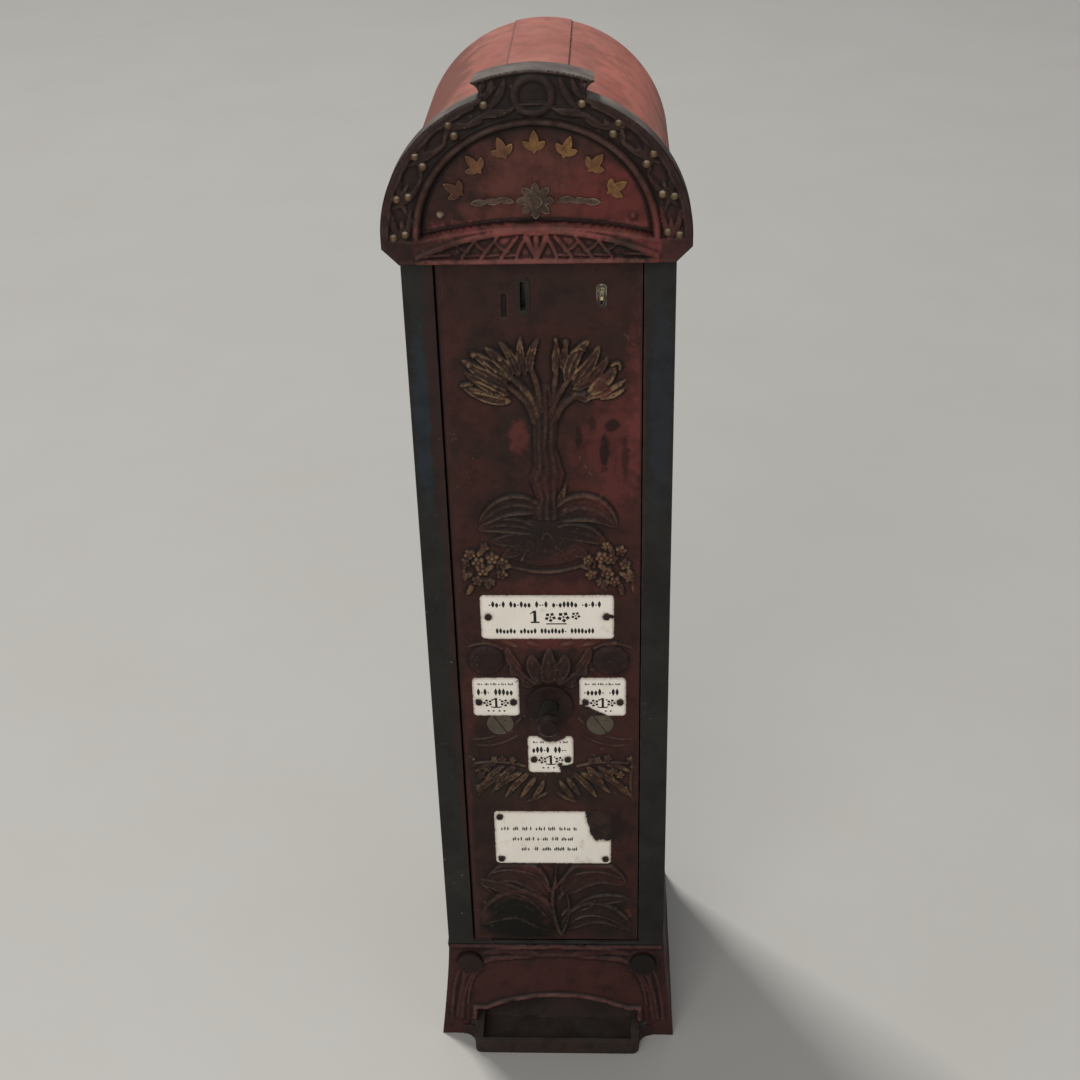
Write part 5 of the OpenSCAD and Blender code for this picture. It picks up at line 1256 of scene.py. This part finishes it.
# %% [markdown]
# ## Enamel plates
#
# A sheet-steel plate, crowned a little, with fired white enamel that has chipped at the corners and round the screws.
# The enamel is a sheet of heights again; where it has broken away, the height drops by the thickness of the enamel and
# a mask shows the rusty steel. The print on it is a plain numeral and rows of ornament.

# %% Enamel and print finishes
enamel, tree, shader, place = new_finish("chipped_enamel")
white = use(tree, "blotches", place, Scale=16, Softness=0.3)
white = blend(tree, white, (840, 785, 700), (740, 680, 590))
stain = use(tree, "blotches", place, Scale=45, Level=0.66, Softness=0.08)
white = blend(tree, times(tree, stain, 0.35), white, (320, 220, 130))
white = blend(tree, use(tree, "chips", place, Scale=230, Level=0.8), white, (50, 35, 28))
rust = use(tree, "blotches", place, Scale=70, Softness=0.12)
rust = blend(tree, rust, (12, 9, 8), (35, 17, 12))
bare = measured(tree, "gilt")
white = blend(tree, times(tree, measured(tree, "hollow"), 0.8, clamp=True), white, (200, 120, 70))
wave = add(tree, "Bump", {"Strength": 0.25, "Distance": 0.0004, "Height": noise(tree, place, 90, 2)}).outputs[0]
plug(tree, shader, {"Base Color": blend(tree, bare, white, rust), "Roughness": ramp(tree, bare, 0, 1, 0.16, 0.7),
                    "Specular IOR Level": 0.2, "Normal": wave})

ink, tree, shader, place = new_finish("black_print")
faded = use(tree, "blotches", place, Scale=120, Level=0.5, Softness=0.3)
plug(tree, shader, {"Base Color": blend(tree, faded, (12, 11, 10), (35, 30, 26)),
                    "Roughness": ramp(tree, faded, 0, 1, 0.25, 0.45), "Specular IOR Level": 0.1})


# %% Fire the plates
def broken(name, x, z):
    """Distance into the broken area of a plate, above 0 where the enamel is gone."""
    (cx, cz), width, height = PLATES[name]
    u, v = x - cx, z - cz
    ragged = 0.9 * even_noise(x, z, 3.2, 41) + 0.5 * even_noise(x, z, 1.3, 42)
    gone = np.full_like(u, -50.0)
    if name == "right_plate":
        line = -0.37 * (u + width / 2) - height / 2 + 15.5 - 0.006 * (u + width / 2) ** 2
        gone = np.where(u < 19, line - v, -50)
    elif name == "middle_plate":
        gone = np.minimum(-(v + height / 2 - 10.5 - 0.25 * (u - width / 2 + 7)), u - width / 2 + 14)
        gone = np.maximum(gone, 2.6 - np.hypot(u - 9.5, v + 13))
        gone = np.maximum(gone, 17.5 - np.hypot(u - 1.5, v - height / 2 - 10))
    elif name == "low_plate":
        gone = np.minimum(u - (width / 2 - 27.5 + 0.18 * (height / 2 - v)), v - (height / 2 - 39.5))
        gone = np.minimum(gone, np.where(u < width / 2 - 17, u - (width / 2 - 24) + 0.55 * (v - 9), gone))
    elif name == "top_plate":
        gone = np.minimum(1.6 - np.abs(v - 1 + 0.1 * (u - 60)), u - 58)
    elif name == "left_plate":
        gone = 1.6 - np.hypot(u - width / 2 + 1.5, v - height / 2 + 4)
    return gone + ragged


def plate_screws_at(name):
    """The screws of a plate, the lost one among them."""
    (cx, cz), width, height = PLATES[name]
    if name == "top_plate":
        return [(cx + s * (width / 2 - 7.5), cz + 1) for s in (-1, 1)]
    if name == "low_plate":
        return [(cx + s * (width / 2 - 6), cz + t * (height / 2 - 7)) for s in (-1, 1) for t in (-1, 1)]
    return [(cx + s * (width / 2 - 6), cz - 6) for s in (-1, 1)]


def paint_mask(piece, sheet, name, field):
    """Writes a field of the sheet onto the piece's vertices by their place."""
    co = places_of(piece.data) / MM
    at = []
    for steps, places in ((sheet.up, co[:, 2]), (sheet.across, co[:, 0])):
        nearest = np.clip(np.searchsorted(steps, places), 1, len(steps) - 1)
        at.append(nearest - ((places - steps[nearest - 1]) < (steps[nearest] - places)))
    piece.data.attributes[name].data.foreach_set("value", field[tuple(at)])


PLATE_STEP, PLATE_EDGE = 0.55, 0.3


def fire_plate(name):
    """One enamel plate with its crown, rounded edge, dished screw holes and chips."""
    (cx, cz), width, height = PLATES[name]
    steps = [np.linspace(middle - size / 2 - PLATE_EDGE, middle + size / 2 + PLATE_EDGE, round(size / PLATE_STEP))
             for middle, size in ((cx, width), (cz, height))]
    sheet = Sheet(*steps)
    x, z = sheet.x, sheet.z

    def edge(x, z):
        """Distance from the plate's outline, above 0 outside."""
        return round_box(x, z, (cx, cz), width, height, 4)

    inner = -edge(x, z)
    crown = 1.55 - 0.35 * (((x - cx) / width * 2) ** 4 + ((z - cz) / height * 2) ** 4) / 2
    gone = broken(name, x, z)
    for at in plate_screws_at(name):
        r = np.hypot(x - at[0], z - at[1])
        crown -= 0.25 * np.exp(-((r / 4.5) ** 4))
        gone = np.maximum(gone, 3.4 + 1.1 * even_noise(x, z, 1.7, 47) - r)
    crown -= 0.7 * np.clip(1 - inner / 1.6, 0, 1) ** 2
    gone = np.maximum(gone, 0.25 + 0.45 * even_noise(x, z, 2.4, 48) - inner)
    sheet.height[:] = crown - 0.5 * step_up(gone + 0.2, 0.6)
    sheet.measure()
    piece = wall_back(relief(sheet, on_front(), edge), FRONT - 0.05, close=True)
    paint_mask(piece, sheet, "gilt", step_up(gone + 0.1, 0.45))
    paint_mask(piece, sheet, "hollow", np.exp(-np.clip(-gone, 0, None) / 1.1) * (gone < 0))
    settle(piece, name + "_enamel", "door", enamel, [name], 50)
    return sheet


crowns = {name: fire_plate(name) for name in PLATES}

# %% [markdown]
# The print is a set of flat black shapes that lie on the crown of each plate. All shapes of one plate make one mesh,
# and each vertex is lifted to just above the enamel under it.


# %% Print the plates
def lozenge(x, z, width, height, lean=0.0):
    """A small leaf-like diamond."""
    return [(x - width / 2, z), (x - lean, z - height / 2), (x + width / 2, z), (x + lean, z + height / 2)]


def bar(x, z, width, height):
    """A small rectangle."""
    return [(x - width / 2, z - height / 2), (x + width / 2, z - height / 2), (x + width / 2, z + height / 2),
            (x - width / 2, z + height / 2)]


def floret(x, z, radius, count=5, turn=0.0):
    """A printed flower of separate petals round a dot."""
    shapes = [lozenge(x, z, radius * 0.44, radius * 0.44)]
    for i in range(count):
        a = math.radians(turn + 360 * i / count)
        ux, uz = math.sin(a), math.cos(a)
        shapes.append([(x + radius * (out * ux + aside * uz), z + radius * (out * uz - aside * ux))
                       for out, aside in ((0.26, 0), (0.62, -0.36), (1.0, 0), (0.62, 0.36))])
    return shapes


def numeral(x, z, height):
    """A plain printed figure one with a foot and a flag."""
    w = height * 0.2
    return [
        bar(x, z, w, height), bar(x, z - height / 2 + w * 0.3, w * 3.0, w * 0.6),
        [(x - w / 2, z + height / 2), (x - w * 1.6, z + height * 0.28), (x - w * 1.6, z + height * 0.2),
         (x - w / 2, z + height * 0.34)],
    ]


def bud(x, z, width, height):
    """A fat printed bud with a tip at both ends."""
    w, h = width / 2, height / 2
    return [(x - w, z - h * 0.3), (x, z - h), (x + w, z - h * 0.3), (x + w, z + h * 0.3), (x, z + h),
            (x - w, z + h * 0.3)]


def frieze(x0, x1, z, height, seed, weight=1.0):
    """A printed row of tall and low buds with berries between them, and a gap after every few."""
    draw, shapes, x = np.random.default_rng(seed), [], x0
    left, wide = draw.integers(4, 7), height * 0.36 * weight
    while x < x1:
        if draw.random() < 0.75:
            low = draw.random() < 0.45
            shapes.append(bud(x + wide / 2, z - height * 0.12 * low, wide, height * (0.76 if low else 1.0)))
            x += wide * 1.28
        else:
            shapes.append(bud(x + wide * 0.3, z - height * 0.1, wide * 0.6, wide * 0.6))
            x += wide * 0.9
        left -= 1
        if left == 0:
            x += height * 0.45
            left = draw.integers(4, 9)
    return shapes


def print_shapes(name):
    """All that is printed on one plate."""
    (cx, cz), width, height = PLATES[name]
    if name == "top_plate":
        shapes = numeral(cx - 12, cz + 1, 14.5) + [bar(cx + 9, cz - 7.2, 20, 1.4)]
        shapes += frieze(cx - 57, cx + 51, cz + 15.5, 8.2, 1) + frieze(cx - 51, cx + 45, cz - 15.5, 7.4, 2)
        for dx, dz, r in ((3, 0.6, 6), (16, 0.8, 6.6), (28, 2.2, 5)):
            shapes += floret(cx + dx, cz + dz, r, 5, 30)
    elif name == "low_plate":
        shapes = []
        for x0, x1, dz in ((-55, 24, 13), (-43, 20, -1), (-34, 26, -15)):
            shapes += frieze(cx + x0, cx + x1, cz + dz, 6.6, int(40 + dz), 0.62)
    else:
        shapes = numeral(cx, cz - 7, 12.5) + frieze(cx - 19, cx + 15.5, cz + 6.5, 9.4, 4 + len(name), 0.9)
        for s in (-1, 1):
            shapes += floret(cx + s * 8.6, cz - 7, 5, 5, 20 * s)
            shapes += [lozenge(cx + s * 4.6, cz - 12, 2.8, 1.9), lozenge(cx + s * 4.0, cz - 3, 2, 2.6)]
        shapes += frieze(cx - 18, cx + 17, cz + 16.4, 3.6, 11, 0.8)
        shapes += [lozenge(cx + dx, cz - 17, 2.8, 2.4) for dx in (-8, -3, 3, 8)]
    return [shape for shape in shapes if max(float(broken(name, np.array([px]), np.array([pz]))[0])
                                             for px, pz in shape) < -0.5]


def make_print(name):
    """The print of one plate as a single thin mesh that follows the plate's crown."""
    sheet = crowns[name]
    corners, faces = [], []
    for shape in print_shapes(name):
        faces.append(tuple(range(len(corners), len(corners) + len(shape))))
        for x, z in shape:
            column = int(np.clip(np.searchsorted(sheet.across, x), 0, len(sheet.across) - 1))
            row = int(np.clip(np.searchsorted(sheet.up, z), 0, len(sheet.up) - 1))
            corners.append((x * MM, (FRONT - sheet.height[row, column] - 0.05) * MM, z * MM))
    mesh = bpy.data.meshes.new(name + "_print")
    mesh.from_pydata(corners, [], faces)
    piece = bpy.data.objects.new(name + "_print", mesh)
    bpy.context.scene.collection.objects.link(piece)
    in_edit_mode(piece, bpy.ops.mesh.normals_make_consistent)
    settle(piece, name + "_print", "door", ink)


for name in PLATES:
    make_print(name)

# %% [markdown]
# ## Finishes and soft edges for the CAD pieces
#
# What is left of the machine has its right shape in the CAD. Each node gets its finish, and the nodes that show get a
# small bevel, because no cast or bent edge is sharp. A bevel needs joined faces, so a weld comes before it.

# %% Dress the CAD nodes
finish_of = {
    "strip_paint": ["front_frame"],
    "side_paint": ["left_wall", "right_wall", "back_plate"],
    "roof_primer": ["roof_hood", "roof_ridge"],
    "black_iron": ["coin_slot_rim", "plate_screws", "packet_weights", "floor_plate"],
    "boss_paint": ["foot_bosses", "button_boss"],
    "chute_paint": ["delivery_chute"],
    "hinge_paint": ["hinge_plates", "corner_angles"],
    "tray_paint": ["tray"],
    "button_paint": ["push_button"],
    "stem_metal": ["button_stem"],
    "disc_metal": ["clamp_screws"],
    "worn_gilt": ["gilt_leaves"],
    "bead_gilt": ["pediment_beads"],
    "keyhole_paint": ["keyhole_rim"],
    "tarnished_silver": ["rosette"],
    "oiled_steel": ["pediment_bolts", "lock_keeper", "clamp_nuts", "mechanism_plate",
                    "rocker_arms", "rocker_bearings", "ejector_slide", "slide_guides",
                    "packet_shelf", "shelf_ledges"],
    "turned_steel": ["hinge_pins", "stem_collar", "return_spring", "rocker_shaft"],
    "dull_tin": ["left_column", "middle_column", "right_column", "coin_chute", "coin_box"],
    "worn_brass": ["lock_case", "lock_cam"],
    "wrapping_paper": ["bottom_packets", "left_packets", "middle_packets", "right_packets"],
    "door_back_paint": ["door_panel"],
    "head_paint_and_highlight": ["pediment"],
    "foot_paint_and_highlight": ["foot_casting"],
    "chipped_enamel": list(PLATES),
}
soft_edge = {
    "front_frame": 0.8, "tray": 1.6, "foot_bosses": 1.2, "coin_slot_rim": 0.5, "plate_screws": 0.5, "push_button": 0.8,
    "button_boss": 0.8, "clamp_screws": 0.5, "gilt_leaves": 0.8, "rosette": 0.7, "keyhole_rim": 0.4,
    "hinge_plates": 0.4, "packet_weights": 1.0,
}
for finish, nodes in finish_of.items():
    for node in nodes:
        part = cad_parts[node]
        part.data.materials.clear()
        part.data.materials.append(bpy.data.materials[finish])
for node, width in soft_edge.items():
    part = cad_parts[node]
    part.modifiers.new("weld", "WELD").merge_threshold = 1e-5
    bevel = part.modifiers.new("bevel", "BEVEL")
    bevel.width = width * MM
    bevel.segments = 2
    bevel.limit_method = "ANGLE"
    bevel.angle_limit = math.radians(38)
print("dressed", sum(len(nodes) for nodes in finish_of.values()), "nodes")

# %% [markdown]
# ## Floor and light
#
# A plain pale floor, a soft bright world, and one broad lamp from behind and to the left that lights the roof and lays
# the machine's shadow to the front right, as the ceiling light of the room did.

# %% Floor
bpy.ops.object.select_all(action="DESELECT")
bpy.ops.mesh.primitive_plane_add(size=14, location=(0, 0, 0))
floor = bpy.context.object
floor.name = "floor"
floor_finish, tree, shader, place = new_finish("floor_finish")
speckle = use(tree, "blotches", place, Scale=3, Softness=0.4)
tree.links.new(blend(tree, speckle, (440, 430, 405), (420, 405, 375)), shader.inputs["Base Color"])
shader.inputs["Roughness"].default_value = 0.6
floor.data.materials.append(floor_finish)

# %% Light
world = bpy.data.worlds.new("soft_room")
bpy.context.scene.world = world
world.use_nodes = True
world.node_tree.nodes["Background"].inputs["Color"].default_value = (0.93, 0.96, 1.0, 1)
world.node_tree.nodes["Background"].inputs["Strength"].default_value = 0.34


def lamp(name, at, aim, size, power, tint=(1, 1, 1)):
    """A square area lamp that looks at a point."""
    data = bpy.data.lights.new(name, "AREA")
    data.size, data.energy, data.color = size, power, tint
    lamp_object = bpy.data.objects.new(name, data)
    bpy.context.scene.collection.objects.link(lamp_object)
    lamp_object.location = at
    look = np.array(aim) - np.array(at)
    z_axis = -look / np.linalg.norm(look)
    x_axis = np.cross((0, 0, 1), z_axis)
    x_axis /= np.linalg.norm(x_axis)
    y_axis = np.cross(z_axis, x_axis)
    turn = Matrix([[x_axis[i], y_axis[i], z_axis[i]] for i in range(3)]).to_4x4()
    lamp_object.matrix_world = Matrix.Translation(at) @ turn


lamp("ceiling_lamp", (-2.9, 4.0, 10.5), (0, 0, 0.5), 1.5, 860, (1, 0.98, 0.95))
lamp("room_fill", (-0.8, -3.4, 2.4), (0, 0, 0.6), 2.6, 75, (1, 0.985, 0.96))

# %% [markdown]
# ## Finish

# The dressed model must stay inside the CAD model's box.

# %% Finish: the view transform
bpy.context.scene.view_settings.view_transform = "Standard"
bpy.context.view_layer.update()
